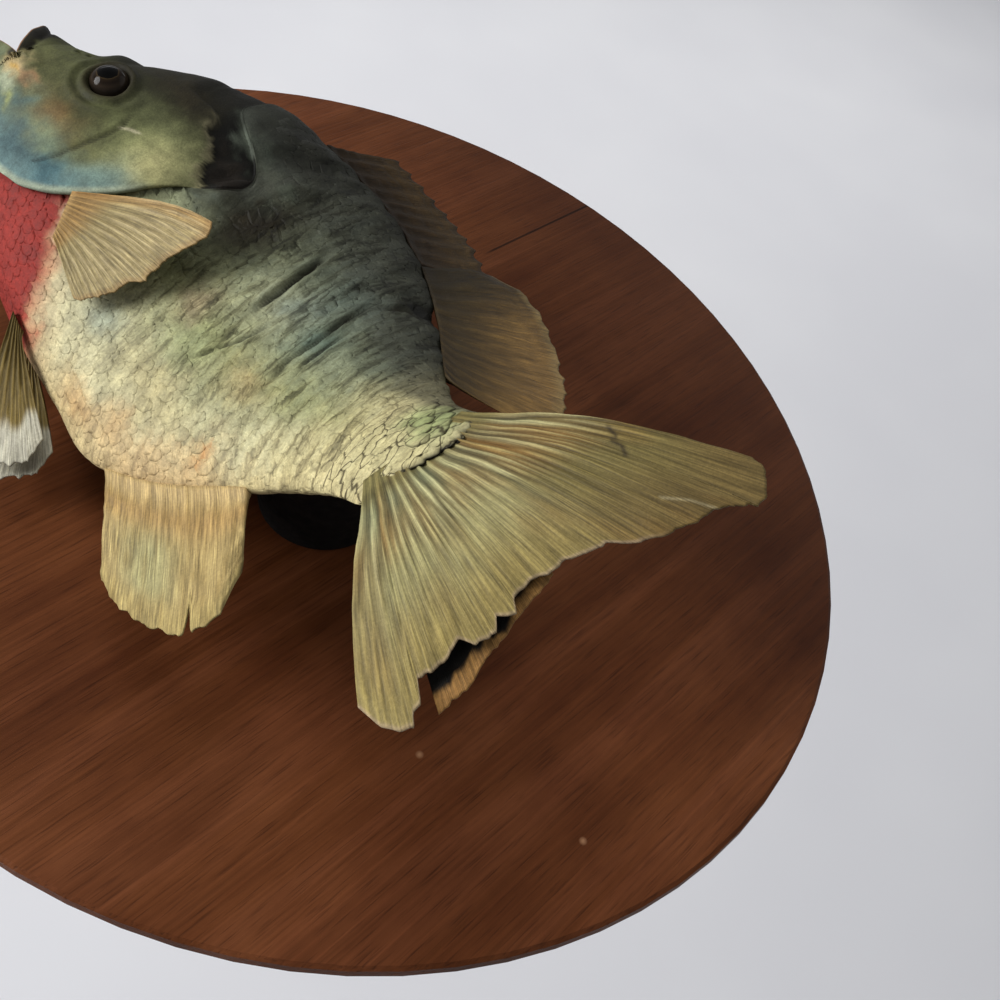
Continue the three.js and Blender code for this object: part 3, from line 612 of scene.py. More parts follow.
def rgb(hex_colour):
    return np.array(linear(hex_colour)[:3])


def toned(x, stops):
    """Colours read off (place, hex colour) stops."""
    tones = np.array([rgb(tone) for _, tone in stops])
    return np.stack([np.interp(x, [place for place, _ in stops], tones[:, k]) for k in range(3)], -1)


def brushed(colours, coats):
    """Lays (tone, mask) coats of paint over an array of colours, one after the other. A tone is
    a hex colour or an array of colours."""
    for tone, mask in coats:
        mask = np.clip(mask, 0, 1)[..., None]
        tone = rgb(tone) if isinstance(tone, str) else tone
        colours = colours * (1 - mask) + tone * mask
    return colours


RED_EDGE = [(0.285, -0.07), (0.296, -0.092), (0.31, -0.126), (0.325, -0.143), (0.346, -0.165),
            (0.365, -0.196), (0.384, -0.223), (0.406, -0.236), (0.43, -0.27)]
SCRATCH = [(0.244, 0.002), (0.252, 0.01), (0.261, 0.016)]
LIP_RIM = [(-0.01, 0.012), (0.03, -0.012), (0.036, -0.036), (0.05, -0.05)]


def flank_paint(s, v, a, b):
    """Body colours at (s, v), with brush marks that waver to (a, b): an ochre belly through
    sage to a charcoal back, a red breast, dark patches behind the ear, partly painted shade
    behind the breast fin, and painted shade in a pit by the back fin's root."""
    belly, back = curve_at(BELLY_LINE, s), curve_at(BACK_LINE, s)
    rise = (b - belly) / (back - belly)

    def at(*oval):
        return spot(a, b, *oval)

    ashy = at(0.432, 0.135, 0.022, 0.03) + at(0.36, 0.15, 0.04, 0.018) + 0.7 * at(0.4, 0.038, 0.035, 0.01)
    away, sign, along = from_line(RED_EDGE, a, b)
    inside = away * sign
    low = smooth(-b, 0.09, 0.17)
    return brushed(toned(rise, [
        (0.0, "#d2c196"), (0.1, "#d6d0ac"), (0.24, "#bbb998"), (0.4, "#9a9e78"),
        (0.56, "#8e957d"), (0.68, "#6c7363"), (0.8, "#494d46"), (1.0, "#30312c")]), [
        ("#9aa67c", 0.5 * at(0.59, -0.08, 0.06, 0.03)),
        ("#a8b8b0", 0.6 * at(0.476, -0.146, 0.03, 0.02)),
        ("#ab9182", 0.5 * at(0.54, -0.045, 0.03, 0.03)),
        ("#a9ac92", 0.55 * at(0.61, 0.02, 0.06, 0.05)),
        ("#56706e", 0.65 * at(0.697, 0.035, 0.03, 0.035)),
        ("#7b8b8c", 0.5 * at(0.632, 0.05, 0.03, 0.03)),
        ("#5d6c6a", 0.5 * at(0.65, 0.1, 0.04, 0.04)),
        ("#c9965c", 0.6 * at(0.55, -0.228, 0.05, 0.02)),
        ("#c48c50", 0.5 * at(0.615, -0.205, 0.03, 0.02)),
        ("#d9b98c", 0.7 * spot(rise, a, 0.0, 0.7, 0.13, 0.08, 3)),
        ("#b59a70", 0.5 * at(0.697, -0.06, 0.04, 0.025)),
        ("#c9b98a", 0.5 * at(0.62, -0.15, 0.08, 0.03)),
        ("#d0c69a", 0.8 * smooth(a, 0.78, 0.92) * (1 - smooth(b, 0.03, 0.08))),
        ("#d2c79c", 0.5 * smooth(a, 0.74, 0.86) * (1 - smooth(b, -0.1, -0.03))),
        ("#7d7860", 0.7 * smooth(a, 0.8, 0.9) * smooth(b, 0.045, 0.075)),
        ("#c98a4c", 0.8 * at(0.741, -0.145, 0.012, 0.02)),
        ("#97a574", 0.85 * at(0.978, 0.036, 0.046, 0.03, 4)),
        # Dark paint behind the breast fin, partly painted shade over the sunk shoulder.
        ("#1c150c", 0.97 * at(0.465, 0.075, 0.062, 0.095, 3)),
        ("#17130f", 0.97 * at(0.385, 0.08, 0.05, 0.055, 3)),
        ("#555c52", 0.8 * ashy * (0.8 + 1.3 * lattice_noise(s * 60, v * 90, 26))),
        # Painted shade: the pit by the back fin's root is coloured near-black.
        ("#0d0c0a", 0.95 * at(0.705, 0.185, 0.03, 0.022, 3)),
        ("#4c4f48", 0.7 * at(0.417, 0.12, 0.018, 0.06)),
        ("#1f1f1a", 0.9 * at(0.37, 0.2, 0.1, 0.06, 3)),
        ("#cdb992", 0.75 * smooth(inside, -0.075, -0.01) * low),
        ("#bb7458", 0.8 * smooth(inside, -0.035, 0.002) * low),
        ("#93342e", smooth(inside, -0.012, 0.012))])


def head_paint(s, v, a, b):
    """Head colours at (s, v), with brush marks that waver to (a, b): olive over a blue chin, a
    cream gill cover, cream and orange tissue at the mouth's corner, and a black ear."""
    away, sign, along = from_line(GILL_EDGE[:16], s, v)
    lower = 1 - smooth(v, -0.06, -0.0)
    from_plate, sign, along = from_line(PLATE_EDGE, a, b)
    ear = smooth(from_plate * sign, -0.002, 0.004) * (b > 0.03) * smooth(s, 0.26, 0.3)
    ashy = ear * smooth(from_plate, 0.016, 0.03) * smooth(b, 0.11, 0.14)

    def at(*oval):
        return spot(a, b, *oval)

    return brushed(toned(b, [
        (-0.25, "#63797a"), (-0.12, "#62756c"), (-0.09, "#66705a"), (-0.05, "#5f6040"),
        (0.0, "#4f5236"), (0.05, "#3d3f2c"), (0.09, "#2a291e"), (0.14, "#1a1913"),
        (0.25, "#13120f")]), [
        ("#7f855c", 0.85 * at(0.295, 0.01, 0.055, 0.06)),
        ("#c0bb88", 0.8 * at(0.318, 0.0, 0.038, 0.045)),
        ("#735a38", 0.8 * at(0.185, -0.06, 0.035, 0.028)),
        ("#84906e", 0.6 * at(0.205, -0.09, 0.03, 0.014)),
        ("#688486", 0.85 * (1 - smooth(away, 0.018, 0.05)) * lower),
        ("#41646f", 0.85 * at(0.25, -0.104, 0.035, 0.02)),
        ("#41565c", 0.85 * at(0.185, -0.118, 0.045, 0.02)),
        ("#7b9186", 0.5 * at(0.3, -0.05, 0.02, 0.03)),
        ("#aab29a", 0.7 * (1 - smooth(away, 0.001, 0.009)) * lower),
        ("#c8b184", 0.85 * at(0.078, -0.068, 0.024, 0.02, 3)),
        ("#b9954a", 0.8 * at(0.082, -0.068, 0.01, 0.006)),
        ("#9c6c50", 0.5 * at(0.105, -0.062, 0.016, 0.008)),
        ("#3c3f29", 0.7 * at(0.104, -0.044, 0.018, 0.008)),
        ("#b4bda0", 0.85 * at(0.09, -0.09, 0.02, 0.01)),
        ("#a9ae6c", 0.7 * at(0.118, -0.098, 0.012, 0.006)),
        ("#4f6a6c", 0.7 * at(0.134, -0.084, 0.016, 0.012)),
        ("#383a28", 0.75 * at(0.18, -0.018, 0.045, 0.018)),
        ("#cfc8a8", 0.8 * bell(from_line(SCRATCH, s, v)[0], 0, 0.0022)),
        ("#2b2418", 0.8 * bell(np.hypot(s - EYE[0], v - EYE[1]) / MM, 4.6, 1.1)),
        ("#1f1e15", 0.85 * at(0.135, 0.066, 0.07, 0.03)),
        ("#2b2419", 0.6 * at(0.235, 0.1, 0.06, 0.03)),
        ("#14110c", 0.97 * at(0.022, -0.006, 0.034, 0.03, 4)),
        ("#15120c", 0.95 * (1 - smooth(from_line(LIP_RIM, a, b)[0], 0.008, 0.018))),
        ("#a79f7e", 0.5 * bell(from_plate, 0, 0.006) * (b > 0.035) * smooth(s, 0.26, 0.3)),
        ("#0b0a08", 0.97 * ear),
        ("#555c52", 0.8 * ashy * (0.7 + 1.3 * lattice_noise(s * 60, v * 90, 26))),
        ("#1f1a15", 0.85 * ear * (1 - smooth(b, 0.09, 0.12)) * smooth(from_plate, 0.008, 0.02))])


def painted(s, v, behind_gill):
    """The painter's colours at (s, v): those of a breeding male, with some painted shade."""
    a = s + 0.008 * lattice_noise(s * 60, v * 60, 21) + 0.004 * lattice_noise(s * 170, v * 170, 22)
    b = v + 0.010 * lattice_noise(s * 55, v * 55, 23) + 0.004 * lattice_noise(s * 170, v * 170, 24)
    return np.where(behind_gill[..., None], flank_paint(s, v, a, b), head_paint(s, v, a, b))


def wear(s, v, side):
    """Places in mm across and along the body's wrinkles, wrinkle depth and crack depth."""
    body = np.stack([(s + LEAN * v) / MM, v / MM, 40.0 * side + 0 * s], -1)
    wrinkled = 0.12 + 0.68 * smooth(s, 0.36, 0.5) * (1 - 0.45 * smooth(s, 0.85, 0.95))
    wrinkled = wrinkled * (0.55 + 0.45 * smooth(v, -0.2, -0.02))
    cracked = smooth(s, 0.84, 0.94) * (1 - 0.4 * smooth(v, 0.05, 0.09))
    cracked = np.maximum(cracked, 0.2 * smooth(s, 0.6, 0.8) * (1 - smooth(v, -0.08, 0.06)))
    return body, wrinkled, cracked


def furrow_shade(s, v):
    """Painted shade along the folds, fading out at their ends."""
    dirt = np.zeros(np.shape(s))
    for points, depth, width in FURROWS:
        away, sign, along = from_line(points, s, v)
        ends = between(along, 0, 0.25, 0.75, 1)
        dirt = np.maximum(dirt, min(depth, 0.92) * ends * bell(away / MM, 0, width * 0.6))
    return dirt


def whole_skin(lining_value, grid, cap_value, gullet_value):
    """One value for each vertex: plain ones for the lining and the cap, the grid's for the skin."""
    shape = grid.shape[2:]
    ends = [np.broadcast_to(value, (count,) + shape) for value, count in (
        (lining_value, len(lining) * COLUMNS), (cap_value, len(cap) * COLUMNS), (gullet_value, 1),
        (cap_value, 1))]
    return np.concatenate([ends[0], grid.reshape((-1,) + shape), *ends[1:]])


behind = np.zeros(rows_s.shape, bool)
behind[HEAD_ROWS + 4:] = True
# Painted shade: the underside of the gill cover's free edge and the shoulder just behind it are darkened to
# near-black.
under = np.zeros(rows_s.shape)
under[HEAD_ROWS + 2:FOLD_END + 4] = 1
skin_colour = brushed(painted(rows_s, rows_v, behind), [("#17130e", under * gill_free * 0.9)])
# Painted shade: darker along the folds, in the cheek crease and where the skin is drawn in at the tail fin.
crease_shade = furrow_shade(rows_s, rows_v)
crease = from_line(CHEEK_LINE, rows_s[head], rows_v[head])[0] / MM
crease_shade[head] = np.maximum(crease_shade[head], 0.65 * bell(crease, 0, 0.35))
crease_shade = np.maximum(crease_shade, smooth(rows_s - rim_s, -0.006, -0.001))
skin_vertices = np.concatenate([rings.reshape(-1, 3), [gullet], [cap_middle]])
skin_faces = ring_faces(len(rings), COLUMNS).tolist()
first, final = len(skin_vertices) - 2, len(skin_vertices) - 1
last_ring = (len(rings) - 1) * COLUMNS
skin_faces += [(first, (k + 1) % COLUMNS, k) for k in range(COLUMNS)]
skin_faces += [(final, last_ring + k, last_ring + (k + 1) % COLUMNS) for k in range(COLUMNS)]


def dusted(tree, place, colour, grime, scale, dark, light, dirt):
    """Specks each side of a colour, from dark to light times it, and a darker colour where the mask
    of dirt and painted shade lies.
    """
    grain = add(tree, "ShaderNodeTexNoise", {"Vector": place, "Scale": scale, "Detail": 3, "Roughness": 0.7})
    speck = add(tree, "ShaderNodeMapRange", {
        "Value": grain, "From Min": 0.35, "From Max": 0.7, "To Min": dark, "To Max": light})
    grained = add(tree, "ShaderNodeVectorMath", {0: colour, "Scale": speck}, operation="SCALE")
    return grain, add(tree, "ShaderNodeMix", {0: grime, 6: grained, 7: dirt}, data_type="RGBA")


def painted_skin(name, scaled):
    """Dried skin under oil paint: satin, with painted shade in the troughs of wrinkles and in folds."""
    material, tree, place = new_material(name)
    paint = add(tree, "ShaderNodeAttribute", attribute_name="paint")
    grime, body, wrinkled, cracked = [
        add(tree, "ShaderNodeAttribute", attribute_name=key).outputs[socket] for key, socket in (
            ("grime", "Fac"), ("body", "Vector"), ("wrinkled", "Fac"), ("cracked", "Fac"))]
    # Wrinkles that run up across the body, 2 mm apart and 10 mm long, with finer ones between.
    wrinkle = stretched(tree, body, (0.5, 0.1, 1.0), Detail=5, Roughness=0.62, Distortion=0.5)
    # The wrinkles are painted into the colour too: painted shade in their troughs, with their crests left
    # light.
    wrinkle_shading = add(tree, "ShaderNodeValToRGB", {"Fac": wrinkle}, stops=[
        (0.32, "#5c5546"), (0.41, "#a8a18e"), (0.49, "#efebdc"), (0.62, "#fffef6")])
    # Cracks between plates of dried paint and skin, 3.5 mm by 7 mm.
    waver = add(tree, "ShaderNodeTexNoise", {"Vector": body, "Scale": 0.35, "Detail": 2})
    shaken = add(tree, "ShaderNodeVectorMath", {
        0: waver.outputs["Color"], 1: (2.4, 2.4, 0.0), 2: body}, operation="MULTIPLY_ADD")
    plate_at = add(tree, "ShaderNodeMapping", {"Vector": shaken, "Scale": (0.29, 0.14, 1.0)})
    plates = add(tree, "ShaderNodeTexVoronoi", {
        "Vector": plate_at, "Scale": 1.0}, feature="DISTANCE_TO_EDGE")
    crack = add(tree, "ShaderNodeMapRange", {
        "Value": plates, "From Min": 0.008, "From Max": 0.04, "To Min": 0.88, "To Max": 0.0})
    crack = add(tree, "ShaderNodeMath", {0: crack, 1: cracked}, operation="MULTIPLY")
    # Mottling by the brush, patches about 3 mm across.
    mottle = add(tree, "ShaderNodeTexNoise", {"Vector": place, "Scale": 320, "Detail": 6, "Roughness": 0.62})
    tint = add(tree, "ShaderNodeValToRGB", {"Fac": mottle}, stops=[
        (0.32, "#8d8a80"), (0.5, "#cfcdc4"), (0.68, "#fffdf2")])
    colour = add(tree, "ShaderNodeMix", {0: 0.55, 6: paint, 7: tint}, **TINTED)
    colour = add(tree, "ShaderNodeMix", {0: wrinkled, 6: colour, 7: wrinkle_shading}, **TINTED)
    colour = add(tree, "ShaderNodeMix", {0: crack, 6: colour, 7: "#332b1c"}, data_type="RGBA")
    # Grains of dust and rubbed paint, 0.4 mm across, drawn twice as coarse as real.
    # This step also darkens the folds, the cheek crease and the rim at the tail fin as painted shade.
    grain, colour = dusted(tree, place, colour, grime, 2200, 0.8, 1.16, "#191610")
    height = add(tree, "ShaderNodeMath", {0: mottle, 1: 0.8, 2: grain}, operation="MULTIPLY_ADD")
    fold = add(tree, "ShaderNodeMath", {0: wrinkle, 1: wrinkled}, operation="MULTIPLY")
    height = add(tree, "ShaderNodeMath", {0: fold, 1: 4.5, 2: height}, operation="MULTIPLY_ADD")
    height = add(tree, "ShaderNodeMath", {0: crack, 1: -1.2, 2: height}, operation="MULTIPLY_ADD")
    # Each scale's rim is darker, as dirt and as painted shade under its edge.
    if scaled:
        plan = add(tree, "ShaderNodeUVMap", uv_map="ScalePlan")
        length = add(tree, "ShaderNodeVectorMath", {0: plan}, operation="LENGTH")
        rim = add(tree, "ShaderNodeMapRange", {"Value": length, "From Min": 0.8, "From Max": 0.98})
        edge_dirt = add(tree, "ShaderNodeAttribute", attribute_name="edge_dirt")
        rim_dirt_and_shade = add(tree, "ShaderNodeMath", {0: rim, 1: edge_dirt.outputs["Fac"]}, operation="MULTIPLY")
        colour = add(tree, "ShaderNodeMix", {0: rim_dirt_and_shade, 6: colour, 7: "#2b2519"}, data_type="RGBA")
    rough = add(tree, "ShaderNodeMapRange", {
        "Value": mottle, "From Min": 0.3, "From Max": 0.7, "To Min": 0.55, "To Max": 0.72})
    surface(tree, colour, rough, specular=0.16, height=height, strength=0.5, depth=0.00022)
    return material


skin = new_piece("fish_skin", skin_vertices, skin_faces, painted_skin("dried_fish_skin_oil_painted", False))
body_place, wrinkled, cracked = wear(rows_s, rows_v, side_grid)
store(
    skin, paint=whole_skin(rgb("#8a6a52"), skin_colour, rgb("#2a2118"), rgb("#5a3a30")),
    grime=whole_skin(0, crease_shade, 1, 0), body=whole_skin(0, body_place, 0, 0),
    wrinkled=whole_skin(0.1, wrinkled, 0, 0), cracked=whole_skin(0, cracked, 0, 0))
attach(skin, "root")
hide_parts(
    "head", "lower_jaw", "gill_cover_left", "gill_cover_right", "ear_flap_left",
    "ear_flap_right", "trunk", "tail_stock")


# --------------------------------------------------------------- glass eyes
# Two domed glass eyes, 9.2 mm across, set in putty in the sockets: a dark brown iris
# with a faint gold ring round a black pupil, under a clear polished front.

def glass_eye(name, middle, axis):
    """Dark glass, glossy: its colours lie in rings round the eye's own axis."""
    material, tree, place = new_material(name)
    out = add(tree, "ShaderNodeVectorMath", {0: place, 1: tuple(middle)}, operation="SUBTRACT")
    way = add(tree, "ShaderNodeVectorMath", {0: out}, operation="NORMALIZE")
    facing = add(tree, "ShaderNodeVectorMath", {0: way, 1: tuple(axis)}, operation="DOT_PRODUCT")
    wisp = add(tree, "ShaderNodeTexNoise", {"Vector": place, "Scale": 900, "Detail": 4})
    shifted = add(tree, "ShaderNodeMath", {0: wisp, 1: 0.05, 2: facing}, operation="MULTIPLY_ADD")
    rings = add(tree, "ShaderNodeValToRGB", {"Fac": shifted}, stops=[
        (0.5, "#1c1712"), (0.68, "#2a221a"), (0.8, "#1a140f"), (0.885, "#221a12"),
        (0.9, "#3a2f1e"), (0.915, "#080706"), (1.0, "#040404")])
    surface(tree, rings, rough=0.1, specular=0.1)
    return material


def by_eye(side, ds=0.0, dv=0.0, out=0.0):
    """A point on the plain form at the eye, or a little way from it."""
    s, v = EYE[0] + ds, EYE[1] + dv
    return fish_point(s, v, side * (width_at(s, v) + out))


FLANKS = (("left", 1), ("right", -1))
for label, side in FLANKS:
    middle = by_eye(side, out=-EYE_SUNK)
    back = by_eye(side, ds=0.02) - by_eye(side, ds=-0.02)
    up = by_eye(side, dv=0.02) - by_eye(side, dv=-0.02)
    axis = np.cross(back, up) * side
    axis /= np.linalg.norm(axis)
    if np.dot(axis, by_eye(side, out=0.03) - middle) < 0:
        axis = -axis
    work = bmesh.new()
    bmesh.ops.create_uvsphere(work, u_segments=64, v_segments=40, radius=EYE_RADIUS * STANDARD_LENGTH)
    turn = Vector((0, 0, 1)).rotation_difference(Vector(axis)).to_matrix().to_4x4()
    bmesh.ops.transform(work, matrix=Matrix.Translation(Vector(middle)) @ turn, verts=work.verts)
    eye_points = [v.co[:] for v in work.verts]
    eye_faces = [[v.index for v in f.verts] for f in work.faces]
    work.free()
    eye = new_piece(
        f"glass_eye_{label}", eye_points, eye_faces, glass_eye(f"dark_glass_eye_{label}", middle, axis))
    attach(eye, "root")
    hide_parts(f"eye_{label}")


# --------------------------------------------------------------------- scales
# The skin's own scales, 2.5 mm apart in staggered rows and dried flat under the paint.
# Each is a thin horny plate rooted at its front, its rounded rear edge lying on the next.

SCALE_STEP = 2.5 * MM
SCALE_ROW = 2.15 * MM
SCALE_ROWS = 13    # rows on each side of the mid flank
SCALE_LONG = 1.9   # half a scale's length, in mm
SCALE_WIDE = 1.55  # half its width, in mm
SCALE_COAT_START, SCALE_COAT_END = 0.14, 1.05
CURLED = [
    (0.93, 0.057), (0.948, 0.046), (0.956, 0.061), (0.966, 0.034), (0.976, 0.05), (0.984, 0.022),
    (0.994, 0.038), (1.0, 0.01), (1.006, 0.027)]


def scale_seeds():
    """Roots of the scales on both flanks: (s, angle round the section, side)."""
    seeds = []
    table_angle = np.linspace(-math.pi / 2, math.pi / 2, 361)
    mid_flank = len(table_angle) // 2
    generator = np.random.default_rng(31)
    station = 0
    s = SCALE_COAT_START
    while s < SCALE_COAT_END:
        half = half_height_at(min(s, 1.0))
        width = curve_at(HALF_WIDTH, min(s, 1.0))
        steps = np.hypot(half * np.cos(table_angle), width * np.abs(np.sin(table_angle)))
        arc_length = np.cumsum(steps) * (table_angle[1] - table_angle[0])
        arc_length -= arc_length[mid_flank]
        for m in range(-SCALE_ROWS, SCALE_ROWS + 1):
            place = (2 * m + station % 2) * SCALE_ROW
            if arc_length[0] + 0.004 < place < arc_length[-1] - 0.006:
                angle = np.interp(place, arc_length, table_angle)
                for side in (1, -1):
                    jitter = generator.uniform(-0.22, 0.22, 2)
                    seeds.append((s + jitter[0] * SCALE_STEP, angle + jitter[1] * 0.1, side))
        station += 1
        s += SCALE_STEP / 2
    return np.array(seeds)


def height_of(s, angle):
    """Height over the spine for an angle round the section."""
    return middle_at(s) + half_height_at(s) * np.sin(angle)


def on_form(s, angle, side):
    """Points on the plain form."""
    return fish_point(s, height_of(s, angle), curve_at(HALF_WIDTH, s) * np.cos(angle) ** 1.15 * side)


seeds = scale_seeds()
seed_gill = np.interp(seeds[:, 1], left_angles, gill_s[:HALF + 1])
seeds = seeds[(seeds[:, 0] > seed_gill - 0.004) & (seeds[:, 0] < flesh_rim(seeds[:, 1]) - 0.016)]
# Where a fold has split the coat, and where the ear has rubbed it, its scales are gone.
seed_v = height_of(seeds[:, 0], seeds[:, 1])
bare = (from_line(GILL_EDGE, seeds[:, 0], seed_v)[0] < 0.05) & (seed_v > 0.02)
for points, depth, width in FURROWS:
    if depth > 0.5:
        away, sign, along = from_line(points, seeds[:, 0], seed_v)
        bare |= (away < width * MM + 0.01) & (along > 0.02) & (along < 0.98)
seeds = seeds[~bare]
# A patch of larger green scales has curled up near the tail's root, on both flanks.
for s, v in CURLED:
    angle = math.asin((v - middle_at(s)) / half_height_at(s))
    seeds = np.vstack([seeds, [(s, angle, 1), (s, angle, -1)]])
seed_s, seed_angle, seed_side = seeds.T
seed_v = height_of(seed_s, seed_angle)
seed_at = on_form(seed_s, seed_angle, seed_side)
seed_back = on_form(seed_s + 0.01, seed_angle, seed_side) - seed_at
seed_back /= np.linalg.norm(seed_back, axis=1, keepdims=True)
seed_up = on_form(seed_s, np.clip(seed_angle + 0.02, -1.57, 1.57), seed_side) - seed_at
seed_out = np.cross(seed_up, seed_back) * -seed_side[:, None]
seed_out /= np.linalg.norm(seed_out, axis=1, keepdims=True)
seed_random = np.random.default_rng(32).uniform(0, 1, len(seeds))
seed_chance = np.random.default_rng(33).uniform(0, 1, len(seeds))
# Scales are larger and their edges lift more towards the tail, where the skin has shrunk.
stock = smooth(seed_s, 0.8, 0.95)
seed_size = 1.0 + 0.1 * stock + 0.25 * (seed_random - 0.5)
seed_size *= 1 - 0.25 * smooth(np.abs(seed_angle), 1.0, 1.45)
seed_lift = 0.05 + 0.14 * seed_chance ** 6 + 0.2 * stock * seed_chance
# Scale rims are darkened, as dirt and as painted shade under their edges, most where the edges lift.
edge_dirt = 0.2 * seed_chance ** 5 + 0.15 * stock * seed_chance
curled = np.arange(len(seeds)) >= len(seeds) - 2 * len(CURLED)
seed_size[curled] = 1.5
seed_lift[curled] = 1.5 + 0.8 * seed_chance[curled]
edge_dirt[curled] = 0.6


def one_scale():
    """A scale's points in mm, root at -x and free edge at +x, its plan as fractions, its rise over
    the skin, and its faces: four by four on top, then the sides and the underside."""
    points, plan, rise = [], [], []
    for x in (-SCALE_LONG, -0.6, 0.75, 1.45, SCALE_LONG):
        reach = math.sqrt(1 - (x / 2.02) ** 2) if x > 0 else 1 - 0.3 * (x / SCALE_LONG) ** 2
        for y in np.linspace(-1, 1, 5):
            points.append((x - 0.35 * y * y * smooth(x, 0.3, SCALE_LONG), SCALE_WIDE * y * reach, 0))
            plan.append((max(x, 0) / SCALE_LONG, y * (reach if x > 0 else 1)))
            thinned = 0.3 if x == SCALE_LONG or abs(y) == 1 else 1.0
            rise.append((0.02 + 0.27 * (x + SCALE_LONG) / (2 * SCALE_LONG)) * thinned)
    count = len(points)
    quads = [(a, a + 5, a + 6, a + 1) for r in range(4) for a in range(5 * r, 5 * r + 4)]
    border = [0, 1, 2, 3, 4, 9, 14, 19, 24, 23, 22, 21, 20, 15, 10, 5]
    for a, b in zip(border, border[1:] + border[:1]):
        quads.append((a, b, b + count, a + count))
    quads.append(tuple(a + count for a in border))
    return np.array(points * 2), np.array(plan * 2), np.array(rise + [-0.15] * count), quads


def scale_coat(material):
    """Lays one scale on every root, turned to lie back along the body, and wraps it to the skin."""
    tree = bpy.data.node_groups.new("scale_coat", "GeometryNodeTree")
    for name, kind in (("Roots", "Geometry"), ("Scale", "Object"), ("Skin", "Object"),
                       ("Scale Size", "Float"), ("Edge Lift", "Float")):
        tree.interface.new_socket(name, in_out="INPUT", socket_type="NodeSocket" + kind)
    tree.interface.new_socket("Coat", in_out="OUTPUT", socket_type="NodeSocketGeometry")
    given = add(tree, "NodeGroupInput").outputs
    back, out, size, rise, lift = [
        add(tree, "GeometryNodeInputNamedAttribute", {"Name": name}, data_type=kind)
        for name, kind in (("back", "FLOAT_VECTOR"), ("out", "FLOAT_VECTOR"), ("size", "FLOAT"),
                           ("rise", "FLOAT"), ("lift", "FLOAT"))]
    upright = add(tree, "FunctionNodeAlignRotationToVector", {"Vector": out}, axis="Z")
    laid = add(tree, "FunctionNodeAlignRotationToVector", {
        "Rotation": upright, "Vector": back}, axis="X", pivot_axis="Z")
    scaled = add(tree, "ShaderNodeMath", {0: size, 1: given["Scale Size"]}, operation="MULTIPLY")
    shape = add(tree, "GeometryNodeObjectInfo", {"Object": given["Scale"]})
    placed = add(tree, "GeometryNodeInstanceOnPoints", {
        "Points": given["Roots"], "Instance": shape.outputs["Geometry"], "Rotation": laid, "Scale": scaled})
    real = add(tree, "GeometryNodeRealizeInstances", {0: placed})
    body = add(tree, "GeometryNodeObjectInfo", {"Object": given["Skin"]}).outputs["Geometry"]
    nearest = add(tree, "GeometryNodeProximity", {"Geometry": body}, target_element="FACES")
    normal = add(tree, "GeometryNodeInputNormal")
    facing = add(tree, "GeometryNodeSampleNearestSurface", {
        "Mesh": body, "Value": normal.outputs[0]}, data_type="FLOAT_VECTOR")
    lifted = add(tree, "ShaderNodeMath", {0: rise, 1: lift}, operation="MULTIPLY")
    height = add(tree, "ShaderNodeMath", {0: lifted, 1: given["Edge Lift"]}, operation="MULTIPLY")
    stand = add(tree, "ShaderNodeVectorMath", {0: facing.outputs[0], "Scale": height}, operation="SCALE")
    wrapped = add(tree, "ShaderNodeVectorMath", {0: nearest, 1: stand})
    moved = add(tree, "GeometryNodeSetPosition", {"Geometry": real, "Position": wrapped})
    dressed = add(tree, "GeometryNodeSetMaterial", {"Geometry": moved, "Material": material})
    add(tree, "NodeGroupOutput", {"Coat": dressed})
    return tree


def grown(holder, tree, values):
    """The plain mesh that a node tree grows on an object; the modifier is taken off again."""
    modifier = holder.modifiers.new("grow", "NODES")
    modifier.node_group = tree
    for item in tree.interface.items_tree:
        if item.in_out == "INPUT" and item.name in values:
            modifier[item.identifier] = values[item.name]
    bpy.context.view_layer.update()
    graph = bpy.context.evaluated_depsgraph_get()
    mesh = bpy.data.meshes.new_from_object(holder.evaluated_get(graph), depsgraph=graph)
    holder.modifiers.remove(modifier)
    return mesh


scale_points, scale_plan, scale_rise, scale_faces = one_scale()
per = len(scale_points)
scale_base = new_piece("one_scale", scale_points / 1000, scale_faces)
store(scale_base, rise=scale_rise / 1000, plan=scale_plan)
scale_grower = scale_coat(painted_skin("dried_horny_scale_oil_painted", True))
rising = np.sign(np.sum(np.cross(seed_out, seed_back) * seed_up, axis=1)) * np.cos(seed_angle)
